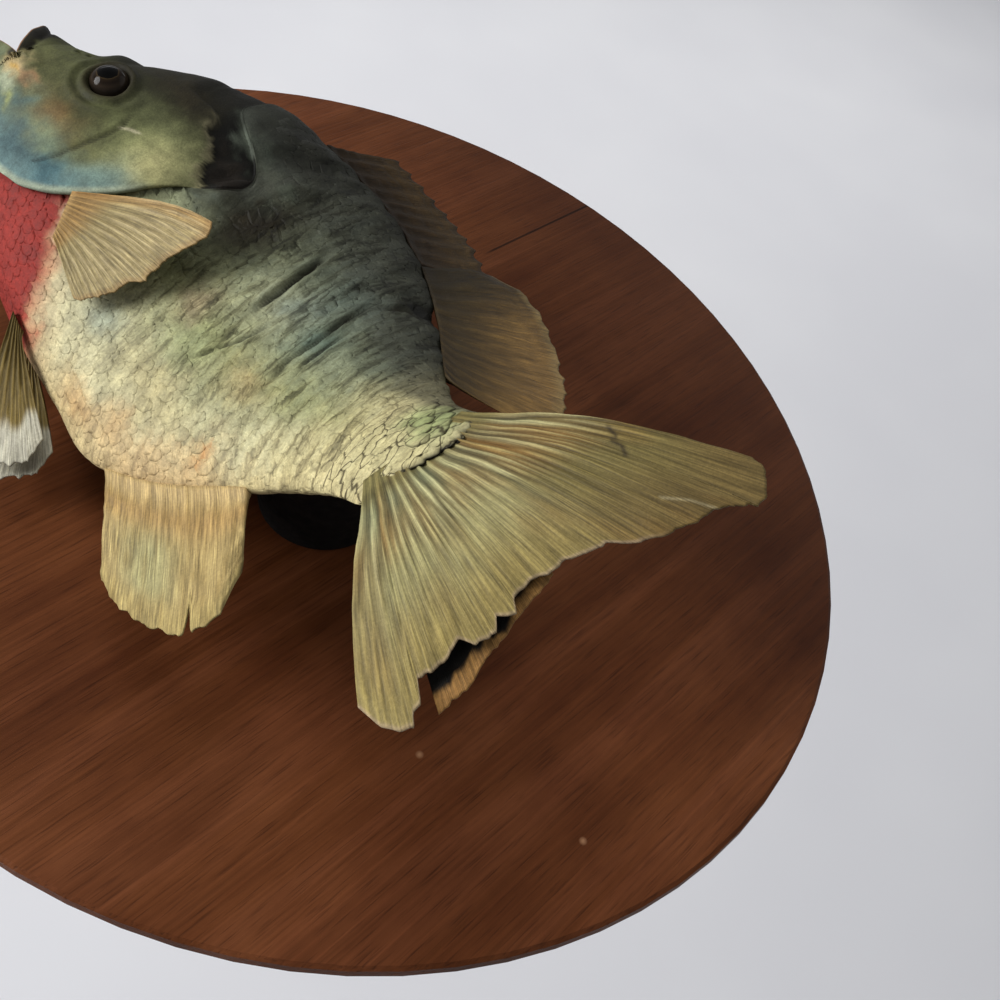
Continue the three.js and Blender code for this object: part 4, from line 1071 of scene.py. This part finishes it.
# Each scale has its own small patch of the baking map, laid out as the roots are on the body.
root_map = np.column_stack([seed_s - 0.1, (seed_angle * seed_side + math.pi) / (2 * math.pi)])
PATCH = 0.003
for label, side in FLANKS:
    mine = seed_side == side
    count = int(np.sum(mine))
    coat = new_piece(f"fish_scales_{label}", seed_at[mine], [])
    store(coat, size=seed_size[mine], lift=seed_lift[mine], back=seed_back[mine], out=seed_out[mine])
    coat_mesh = grown(coat, scale_grower, {
        "Scale": scale_base, "Skin": skin, "Scale Size": 1.0, "Edge Lift": 1.0})
    coat_mesh.name = coat.name
    coat.data = coat_mesh
    flat = np.tile(scale_points[:, :2], (count, 1))
    vertex_s = np.repeat(seed_s[mine], per) + flat[:, 0] * MM
    vertex_v = np.repeat(seed_v[mine], per) + flat[:, 1] * MM * np.repeat(rising[mine], per)
    tone = np.repeat(0.96 + 0.08 * seed_random[mine], per)[:, None]
    colour = painted(vertex_s, vertex_v, np.ones(len(vertex_s), bool)) * tone
    body_place, wrinkled, cracked = wear(vertex_s, vertex_v, side)
    store(
        coat, paint=colour, grime=furrow_shade(vertex_s, vertex_v), body=body_place,
        edge_dirt=np.repeat(edge_dirt[mine], per), wrinkled=wrinkled, cracked=cracked)
    set_uv(coat, "ScalePlan", np.tile(scale_plan, (count, 1)))
    set_uv(coat, "OFBake", np.repeat(root_map[mine], per, axis=0) + flat * (PATCH / (2 * SCALE_LONG)))
    for name in ("rise", "plan", "size", "lift", "back", "out"):
        if name in coat_mesh.attributes:
            coat_mesh.attributes.remove(coat_mesh.attributes[name])
    # Only the 16 faces of the top are smooth shaded, so that the thin edges do not shade them.
    coat_mesh.polygons.foreach_set("use_smooth", ([True] * 16 + [False] * 17) * count)
    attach(coat, "root")
    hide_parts("trunk", "tail_stock")
bpy.data.objects.remove(scale_base)


# ----------------------------------------------------------------------- fins
# Fins are the real dried webs, stiffened and painted: 0.5 mm of skin over bony rays that
# branch towards the rim. Their edges are brittle, and chipped back from ray to ray.

def fin_rim(rows, u):
    """The columns of (u, ...) rows at u, in straight stretches."""
    rows = np.asarray(rows, float)
    return [np.interp(u, rows[:, 0], rows[:, k]) for k in range(1, rows.shape[1])]


def fin_sheet(name, middle, material, paint, rays, relief, ragged, seed, rows=64, per_ray=8, thick=0.5,
              root_swell=0.8, swell_reach=0.12, branch=0.45, uneven=0.0, bare_root=0.05):
    """A closed rayed web. middle(u, r) gives (s, v, w) places of its mid surface, u across the rays
    and r out along them. Thickness, relief and swell are in mm; ragged is the depth of its chips,
    and branch, swell_reach and bare_root are places along the rays."""
    columns = rays * per_ray
    u, r = np.broadcast_arrays(
        np.linspace(0, 1, columns + 1)[None, :], (np.linspace(0, 1, rows + 1) ** 0.85)[:, None])
    chips = sum(
        size * lattice_noise(u * rays * pitch, np.zeros(u.shape) + seed, seed + k)
        for k, (size, pitch) in enumerate([(1.0, 0.9), (0.5, 2.3), (0.35, 6.0)]))
    reach = r * (1 - ragged * (0.5 + 0.5 * chips) * smooth(r, 0.3, 1.0))
    points = fish_point(*middle(u, reach))
    out = np.cross(np.gradient(points, axis=1), np.gradient(points, axis=0))
    out /= np.maximum(np.linalg.norm(out, axis=-1, keepdims=True), 1e-12)
    turn = rays * u + 0.45 * uneven * lattice_noise(u * rays * 0.8, r * 1.5, seed + 4)
    stems, twigs, hairs = [
        np.clip(0.5 + 0.5 * np.cos(2 * math.pi * count * turn), 0, 1) for count in (1, 2, 4)]
    part = smooth(reach, branch, branch + 0.25)
    fine = smooth(reach, branch + 0.25, branch + 0.5)
    ridge = stems ** 1.6 * (1 - part) + twigs ** 1.6 * part * (1 - 0.6 * fine) + hairs * 0.35 * fine
    strength = relief * (1 - 0.7 * smooth(r, 0.1, 1.0)) * smooth(r, 0.0, bare_root)
    strength = strength * (1 + uneven * lattice_noise(turn, r * 2.0, seed + 5))
    half = thick / 2 + strength * ridge + root_swell * np.clip(1 - r / swell_reach, 0, 1) ** 1.4
    half = half * (1 - 0.45 * smooth(r, 0.93, 1.0))
    shift = 0.12 * lattice_noise(u * rays * 1.3, r * 14, seed + 3) * smooth(r, 0.02, 0.2)
    front = points + out * ((half + shift) / 1000)[..., None]
    back = points - out * ((half * 0.9 - shift) / 1000)[..., None]
    wide = columns + 1
    total = (rows + 1) * wide
    grid = (np.arange(rows)[:, None] * wide + np.arange(columns)[None, :]).reshape(-1, 1)
    near = np.hstack([grid, grid + 1, grid + wide + 1, grid + wide])
    far = near[:, ::-1] + total
    border = list(range(0, columns)) + [k * wide + columns for k in range(rows)]
    border += [rows * wide + c for c in range(columns, 0, -1)] + [k * wide for k in range(rows, 0, -1)]
    skirt = [(b, a, a + total, b + total) for a, b in zip(border, border[1:] + border[:1])]
    piece = new_piece(
        name, np.concatenate([front.reshape(-1, 3), back.reshape(-1, 3)]),
        near.tolist() + far.tolist() + skirt, material)
    colours, dirt = paint(u, r, ridge, reach)
    store(piece, paint=np.tile(colours.reshape(-1, 3), (2, 1)), grime=np.tile(dirt.ravel(), 2))
    set_uv(piece, "RayMap", np.tile(np.stack([u, r], -1).reshape(-1, 2), (2, 1)))
    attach(piece, "root")
    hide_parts(name)
    return piece


def fin_web(name, rays):
    """Dried fin: stiff, horny and satin, streaked along its rays."""
    material, tree, place = new_material(name)
    web = add(tree, "ShaderNodeUVMap", uv_map="RayMap")
    paint = add(tree, "ShaderNodeAttribute", attribute_name="paint")
    grime = add(tree, "ShaderNodeAttribute", attribute_name="grime")
    # Broad tones, three to a ray, and hair-fine streaks, twelve to a ray, about 0.3 mm apart.
    tone = stretched(tree, web, (rays * 3.0, 2.5, 1.0), Detail=3)
    tone_tint = add(tree, "ShaderNodeValToRGB", {"Fac": tone}, stops=[
        (0.32, "#9b9583"), (0.5, "#e6e1d2"), (0.68, "#fffdf0")])
    streak = stretched(tree, web, (rays * 12.0, 5.0, 1.0), Detail=4)
    tint = add(tree, "ShaderNodeValToRGB", {"Fac": streak}, stops=[
        (0.3, "#7c776a"), (0.5, "#c6c2b4"), (0.7, "#fffbe8")])
    colour = add(tree, "ShaderNodeMix", {0: 0.6, 6: paint, 7: tone_tint}, **TINTED)
    colour = add(tree, "ShaderNodeMix", {0: 0.75, 6: colour, 7: tint}, **TINTED)
    # Grains of dust, 0.5 mm across, drawn twice as coarse as real.
    grain, colour = dusted(tree, place, colour, grime.outputs["Fac"], 1900, 0.87, 1.12, "#2a2216")
    height = add(tree, "ShaderNodeMath", {0: streak, 1: 1.5, 2: grain}, operation="MULTIPLY_ADD")
    rough = add(tree, "ShaderNodeMapRange", {
        "Value": streak, "From Min": 0.3, "From Max": 0.7, "To Min": 0.5, "To Max": 0.65})
    surface(tree, colour, rough, specular=0.22, height=height, strength=0.55, depth=0.0002)
    return material


# Spiny and soft back fins, end to end along the back, and the anal fin below.
def back_fin(rows, lean, bow, notch, rays, slit=(0.5, 1.0, 0.0)):
    def middle(u, r):
        root_s, root_v, edge_s, edge_v = fin_rim(rows, u)
        out = r * (1 - notch * np.abs(np.sin(u * rays * math.pi)) * smooth(r, 0.5, 1.0))
        out = out * (1 - slit[2] * bell(u, slit[0], slit[1]) * smooth(r, 0.6, 1.0))
        v = root_v + (edge_v - root_v) * out + bow * (1 - u) * np.sin(math.pi * r)
        return root_s + (edge_s - root_s) * out, v, lean * out + 0.002 * np.sin(u * 9) * out
    return middle


FIN_SUNK = 0.004


def on_back(u, root, tip, tip_v):
    return u, root, float(curve_at(BACK_LINE, root)) - FIN_SUNK, tip, tip_v


def on_belly(u, root, tip, tip_v):
    return u, root, float(curve_at(BELLY_LINE, root)) + FIN_SUNK, tip, tip_v


def olive_fin(dark, light, rim, front=0.0):
    def paint(u, r, ridge, reach):
        colours = brushed(rgb(dark), [
            (light, 0.75 * smooth(r, 0.1, 0.9)),
            ("#241f12", 0.85 * (1 - smooth(u, 0.0, front + 0.001))),
            (rim, 0.6 * smooth(r, 0.88, 1.0))])
        # Painted highlight on the ray ridges and painted shade between them; the grooves near the root are
        # darkened further as painted shade.
        return colours * (0.82 + 0.25 * ridge)[..., None], 0.3 * (1 - ridge) * (1 - smooth(r, 0.0, 0.5))
    return paint


SPINY_ROWS = []
for u in (0, 0.25, 0.5, 0.75, 1):
    root = 0.345 + 0.255 * u
    SPINY_ROWS.append(on_back(
        u, root, root + 0.055 - 0.005 * u, float(curve_at(BACK_LINE, root)) + 0.086 - 0.016 * u))
spiny = fin_sheet(
    "dorsal_spiny", back_fin(SPINY_ROWS, lean=-0.03, bow=0.0, notch=0.07, rays=9),
    fin_web("dried_spiny_fin_brown_paint", 9), olive_fin("#2c2115", "#4b3b24", "#35281a"),
    rays=9, relief=0.35, ragged=0.02, seed=41, branch=2.0, uneven=0.4)

SOFT_ROWS = [on_back(*row) for row in (
    (0, 0.603, 0.652, 0.314), (0.06, 0.63, 0.71, 0.32), (0.2, 0.67, 0.79, 0.294),
    (0.4, 0.72, 0.9, 0.234), (0.6, 0.76, 1.0, 0.174), (0.78, 0.795, 1.07, 0.128),
    (0.9, 0.82, 1.075, 0.108), (1, 0.84, 1.03, 0.104))]
soft = fin_sheet(
    "dorsal_soft", back_fin(SOFT_ROWS, lean=-0.03, bow=0.012, notch=0.02, rays=11),
    fin_web("dried_soft_fin_tan_paint", 11), olive_fin("#3c3019", "#86693f", "#93805a", front=0.4),
    rays=11, relief=0.25, ragged=0.03, seed=51, uneven=0.5)

ANAL_ROWS = [on_belly(*row) for row in (
    (0, 0.635, 0.755, -0.316), (0.2, 0.675, 0.825, -0.318), (0.4, 0.71, 0.885, -0.304),
    (0.58, 0.74, 0.93, -0.286), (0.74, 0.76, 0.95, -0.268), (0.9, 0.79, 0.95, -0.24),
    (1, 0.81, 0.897, -0.196))]
ANAL_SLIT = (0.66, 0.018, 0.2)  # a place across the rays, its width and its depth


def anal_paint(u, r, ridge, reach):
    patch = lattice_noise(u * 30, r * 5, 63)
    colours = brushed(rgb("#cbb684"), [
        ("#c4a06c", 0.7 * bell(r, 0.25, 0.14)),
        ("#b3b690", 0.75 * bell(u, 0.35, 0.2) * between(r, 0.2, 0.5, 0.7, 0.95)),
        ("#e0c695", 0.95 * (1 - smooth(r, 0.04, 0.2))),
        ("#c2b27c", 0.6 * smooth(r, 0.75, 0.95)),
        ("#8f7746", 0.45 * np.clip(patch, 0, 1))])
    # Painted highlight on the ray ridges and painted shade between them; the dark patches are dirt.
    return colours * (0.9 + 0.16 * ridge)[..., None], 0.25 * np.clip(-patch - 0.3, 0, 1)


anal = fin_sheet(
    "anal_fin", back_fin(ANAL_ROWS, lean=-0.035, bow=0.0, notch=0.015, rays=10, slit=ANAL_SLIT),
    fin_web("dried_anal_fin_ochre_paint", 10), anal_paint,
    rays=10, relief=0.28, ragged=0.035, seed=61, branch=0.2, uneven=0.8)

# Tail fin: seventeen strong rays fanning from the flesh, its lower lobe torn.
TAIL_RIM = [
    (0, 1.264, 0.1815), (0.03, 1.274, 0.181), (0.055, 1.286, 0.171), (0.085, 1.299, 0.159),
    (0.11, 1.303, 0.147), (0.125, 1.294, 0.144), (0.155, 1.292, 0.136), (0.2, 1.285, 0.126),
    (0.29, 1.276, 0.09), (0.37, 1.264, 0.054), (0.43, 1.245, 0.034), (0.52, 1.236, -0.006),
    (0.56, 1.237, -0.022), (0.6, 1.234, -0.036), (0.645, 1.238, -0.058), (0.665, 1.251, -0.066),
    (0.685, 1.244, -0.08), (0.715, 1.257, -0.09), (0.77, 1.252, -0.111), (0.79, 1.243, -0.118),
    (0.86, 1.247, -0.149), (0.89, 1.247, -0.163), (0.915, 1.267, -0.175), (0.93, 1.268, -0.184),
    (0.945, 1.278, -0.191), (0.965, 1.277, -0.203), (0.985, 1.262, -0.212), (1, 1.235, -0.2135)]
TAIL_ROOT = 1.0
TAIL_TOP = 0.062
TAIL_BOTTOM = -0.06
TAIL_CRACK = [(1.154, 0.119), (1.166, 0.116), (1.17, 0.109), (1.179, 0.111), (1.189, 0.106)]
TAIL_TEAR = [(1.242, 0.095), (1.26, 0.11), (1.28, 0.12)]


def tail_middle(u, r):
    edge_s, edge_v = fin_rim(TAIL_RIM, u)
    root_v = TAIL_TOP + (TAIL_BOTTOM - TAIL_TOP) * u
    v = root_v + (edge_v - root_v) * r - 0.003 * np.sin(math.pi * r)
    return TAIL_ROOT + (edge_s - TAIL_ROOT) * r, v, 0.003 * np.sin(u * 9) * r


def tail_paint(u, r, ridge, reach):
    low = smooth(u, 0.3, 0.55)
    fan = lattice_noise(u * 17, r * 1.2, 72)
    near = between(r, 0.05, 0.16, 0.38, 0.62)
    warm = np.clip(0.5 + fan, 0, 1)
    patch = lattice_noise(u * 6, r * 5, 73) + 0.6 * lattice_noise(u * 34, r * 4, 74)
    colours = brushed(rgb("#7f744a"), [
        ("#b0ab80", low),
        (brushed(rgb("#7c6b45"), [("#a69763", low)]), smooth(r, 0.6, 0.95)),
        ("#b07c3e", 0.6 * near * warm * (1 - 0.5 * ridge)),
        # Pale streaks along the ray ridges and teal ones near the root are painted sheen, as highlights.
        ("#cfd3b8", 0.6 * near * (1 - warm) * ridge),
        ("#86a08c", 0.45 * near * (1 - warm) * (1 - smooth(r, 0.2, 0.42))),
        ("#c9c391", 0.4 * near * ridge),
        ("#8f8758", 0.75 * (1 - smooth(r, 0.1, 0.2))),
        ("#8d6d3c", 0.4 * np.clip(patch, 0, 1)),
        ("#cdb6a6", 0.6 * smooth(r, 0.98, 1.0) * smooth(u, 0.3, 0.4))])
    # Painted highlight on the ray ridges and painted shade between them, strongest near the root.
    ridge_shading = 0.34 * (1 - smooth(r, 0.45, 0.8)) + 0.16
    colours = colours * (1 + ridge_shading * (ridge - 0.6))[..., None]
    s, v, w = tail_middle(u, reach)
    colours = brushed(colours, [("#d0c4a2", 0.7 * bell(from_line(TAIL_TEAR, s, v)[0], 0, 0.0012))])
    # Painted shade in the grooves between rays and in a band near the root; the crack line is dark in its
    # own right.
    dirt = 0.5 * (1 - ridge) ** 3 * near * np.clip(0.5 - fan, 0, 1)
    dirt = np.maximum(dirt, 0.9 * bell(from_line(TAIL_CRACK, s, v)[0], 0, 0.002))
    return colours, np.maximum(dirt, 0.5 * bell(r, 0.1, 0.03) * np.clip(0.3 - fan, 0, 1))


tail = fin_sheet(
    "tail_fin", tail_middle, fin_web("dried_tail_fin_ochre_paint", 17), tail_paint,
    rays=17, relief=0.32, ragged=0.028, seed=71, rows=96, per_ray=14, thick=0.55, root_swell=2.2,
    swell_reach=0.22, branch=0.3, uneven=0.8, bare_root=0.16)


# ------------------------------------------------------------- tail backing
# A strip of brown fibre card glued behind the torn lower lobe to hold its rays: matt,
# furred and broken at the edge, and black across its middle, where the web has gone.

BACKING_ROWS = [
    (0, 1.15, -0.01, 1.232, -0.015), (0.2, 1.15, -0.03, 1.242, -0.044),
    (0.4, 1.152, -0.052, 1.251, -0.074), (0.6, 1.155, -0.074, 1.261, -0.106),
    (0.8, 1.158, -0.096, 1.27, -0.14), (1, 1.162, -0.118, 1.275, -0.168)]
BACKING_BEHIND = -0.011


def backing_middle(u, r):
    root_s, root_v, edge_s, edge_v = fin_rim(BACKING_ROWS, u)
    return (root_s + (edge_s - root_s) * r, root_v + (edge_v - root_v) * r,
            BACKING_BEHIND - 0.004 * r * r + 0.001 * np.sin(u * 9) * r)


def backing_paint(u, r, ridge, reach):
    edge = r + 0.05 * lattice_noise(u * 16, r * 8, 5) - 0.08 * bell(u, 0.45, 0.12)
    return brushed(rgb("#b58a55"), [("#0d0b08", 1 - smooth(edge, 0.84, 0.9))]), np.zeros(u.shape)


backing = fin_sheet(
    "tail_fin_backing", backing_middle, fin_web("torn_fibre_card_aged", 14), backing_paint,
    rays=6, relief=0.05, ragged=0.06, seed=81, rows=40, per_ray=14, thick=0.55, root_swell=0.0)


# -------------------------------------------------------------- paired fins
# The breast fins are glued open like fans beside the gill covers, and the small belly
# fins trail below them. Their webs are thin, and paler than the others.

PECTORAL_RIM = [
    (0, 0.49, 0.02, 0.142), (0.07, 0.505, 0.006, 0.141), (0.15, 0.499, -0.02, 0.132),
    (0.3, 0.494, -0.052, 0.121), (0.42, 0.492, -0.07, 0.117), (0.5, 0.5, -0.083, 0.114),
    (0.6, 0.478, -0.1, 0.108), (0.72, 0.474, -0.126, 0.1), (0.86, 0.462, -0.15, 0.094),
    (1, 0.445, -0.164, 0.09)]
PELVIC_RIM = [
    (0, 0.52, -0.366, 0.014), (0.25, 0.55, -0.354, 0.013), (0.5, 0.568, -0.334, 0.012),
    (0.75, 0.57, -0.311, 0.012), (1, 0.553, -0.283, 0.013)]


PECTORAL_ROOT = [(0.302, -0.094, 0.103), (0.341, -0.142, 0.09)]
PELVIC_ROOT = [(0.37, -0.231, 0.03), (0.4, -0.238, 0.026)]


def side_fin(side, root_line, rim, bow, lift=0.0):
    def middle(u, r):
        root = [a + (b - a) * u for a, b in zip(*root_line)]
        s, v, w = [a + (b - a) * r for a, b in zip(root, fin_rim(rim, u))]
        raised = lift * (1 - u) ** 2 * np.sin(math.pi * r)
        return s, v + raised, side * (w + bow * np.sin(math.pi * r))
    return middle


def pectoral_paint(u, r, ridge, reach):
    colours = brushed(rgb("#b5a67c"), [
        ("#c9a26c", 0.8 * (1 - smooth(r, 0.1, 0.3))),
        ("#d8a86a", 0.6 * (1 - smooth(u, 0.0, 0.12))),
        # Paler on the ray ridges, as painted highlight.
        ("#dccdaa", 0.6 * ridge * smooth(r, 0.15, 0.5)),
        ("#c7a070", 0.5 * smooth(r, 0.9, 1.0))])
    # Painted highlight on the ray ridges, and painted shade between them and in the grooves near the root.
    return colours * (0.86 + 0.2 * ridge)[..., None], 0.14 * (1 - ridge) ** 2 * (1 - smooth(r, 0.4, 1.0))


def pelvic_paint(u, r, ridge, reach):
    tip = r + 0.08 * lattice_noise(u * 5, r * 3, 102) - 0.06 * (1 - u)
    colours = brushed(rgb("#7c6b3c"), [
        ("#a08c55", 0.5 * smooth(r, 0.1, 0.6)), ("#ecece4", 0.95 * smooth(tip, 0.66, 0.78))])
    # Painted highlight on the ray ridges, and painted shade between them and in the grooves near the root.
    return colours * (0.75 + 0.35 * ridge)[..., None], 0.2 * (1 - ridge) * (1 - smooth(r, 0.4, 0.8))


pale_web = fin_web("dried_breast_fin_cream_paint", 12)
belly_web = fin_web("dried_belly_fin_olive_paint", 6)
for label, side in FLANKS:
    pectoral = fin_sheet(
        f"pectoral_{label}", side_fin(side, PECTORAL_ROOT, PECTORAL_RIM, bow=0.006, lift=0.022),
        pale_web, pectoral_paint,
        rays=12, relief=0.3, ragged=0.05, seed=91, rows=56, root_swell=0.5, branch=0.42)
    pelvic = fin_sheet(
        f"pelvic_{label}", side_fin(side, PELVIC_ROOT, PELVIC_RIM, bow=0.004), belly_web, pelvic_paint,
        rays=6, relief=0.3, ragged=0.05, seed=101, rows=48, branch=0.4)


# --------------------------------------------------------------- studio
# A pale matt sweep that curves up from the floor into a wall, two lamps on the fish and three
# on the wall, and the camera: below the board's middle, close to the tail, looking up.

FLOOR, SWEEP_START, SWEEP_TOP = -1.5, 0.4, 4.0
SWEEP_RADIUS = 0.5
SWEEP_HALF_WIDTH = 4.0
sweep_profile = [(-3.0, FLOOR), (SWEEP_START, FLOOR)]
for a in np.linspace(0.1, math.pi / 2, 12):
    sweep_profile.append((
        SWEEP_START + SWEEP_RADIUS * math.sin(a), FLOOR + SWEEP_RADIUS * (1 - math.cos(a))))
sweep_profile.append((SWEEP_START + SWEEP_RADIUS, SWEEP_TOP))
sweep_points = [(x, y, z) for y, z in sweep_profile for x in (-SWEEP_HALF_WIDTH, SWEEP_HALF_WIDTH)]
sweep_faces = [(2 * k, 2 * k + 1, 2 * k + 3, 2 * k + 2) for k in range(len(sweep_profile) - 1)]
paper, tree, place = new_material("pale_matt_paper")
fibres = add(tree, "ShaderNodeTexNoise", {"Vector": place, "Scale": 3.0})
paper_tone = add(tree, "ShaderNodeValToRGB", {"Fac": fibres}, stops=[(0.3, "#dedee2"), (0.7, "#e4e4e7")])
surface(tree, paper_tone, rough=0.9, specular=0.5, ior=1.5)
sweep = bpy.data.objects.new("studio_sweep", bpy.data.meshes.new("studio_sweep"))
sweep.data.from_pydata(sweep_points, [], sweep_faces)
sweep.data.polygons.foreach_set("use_smooth", [True] * len(sweep_faces))
sweep.data.materials.append(paper)
bpy.context.scene.collection.objects.link(sweep)

LAMPS = [
    ("key", (-0.62, -0.52, -0.72), (0.0, 0.0, 0.0), 0.6, 14.0),
    ("sheen", (-0.45, -1.15, 0.1), (-0.1, 0.0, -0.05), 0.7, 5.0),
    ("wall_left", (-1.7, -0.4, 0.9), (-1.8, 0.9, 0.9), 1.2, 9.0),
    ("wall_high", (-0.7, -0.5, 2.1), (-0.7, 0.9, 2.2), 1.2, 8.5),
    ("wall_low", (0.3, -0.5, 0.9), (0.2, 0.9, 0.6), 1.0, 1.4),
]
for name, place, target, size, power in LAMPS:
    lamp_data = bpy.data.lights.new(name, "AREA")
    lamp_data.shape = "DISK"
    lamp_data.size = size
    lamp_data.energy = power
    lamp = bpy.data.objects.new(name, lamp_data)
    lamp.location = place
    # The second lamp only fills: its own reflection would whiten the varnish.
    lamp.visible_glossy = name != "sheen"
    lamp.rotation_mode = "QUATERNION"
    lamp.rotation_quaternion = (Vector(target) - Vector(place)).to_track_quat("-Z", "Y")
    bpy.context.scene.collection.objects.link(lamp)
world = bpy.data.worlds.new("studio_air")
world.use_nodes = True
air = world.node_tree.nodes["Background"].inputs
air["Color"].default_value = linear("#f2f3f5")
air["Strength"].default_value = 0.36
bpy.context.scene.world = world
bpy.context.scene.view_settings.view_transform = "Standard"

camera_data = bpy.data.cameras.new("camera")
camera_data.sensor_width = 36
camera_data.lens = 37.85
camera_data.clip_start = 0.01
camera_data.clip_end = 20
camera = bpy.data.objects.new("camera", camera_data)
# Its right, up and back directions stand in the first three columns, its place in the fourth.
camera.matrix_world = Matrix((
    (0.6754, -0.6719, 0.3039, 0.1134),
    (-0.2229, -0.5789, -0.7844, -0.1935),
    (0.7029, 0.4620, -0.5408, -0.1147),
    (0, 0, 0, 1)))
bpy.context.scene.collection.objects.link(camera)
bpy.context.scene.camera = camera
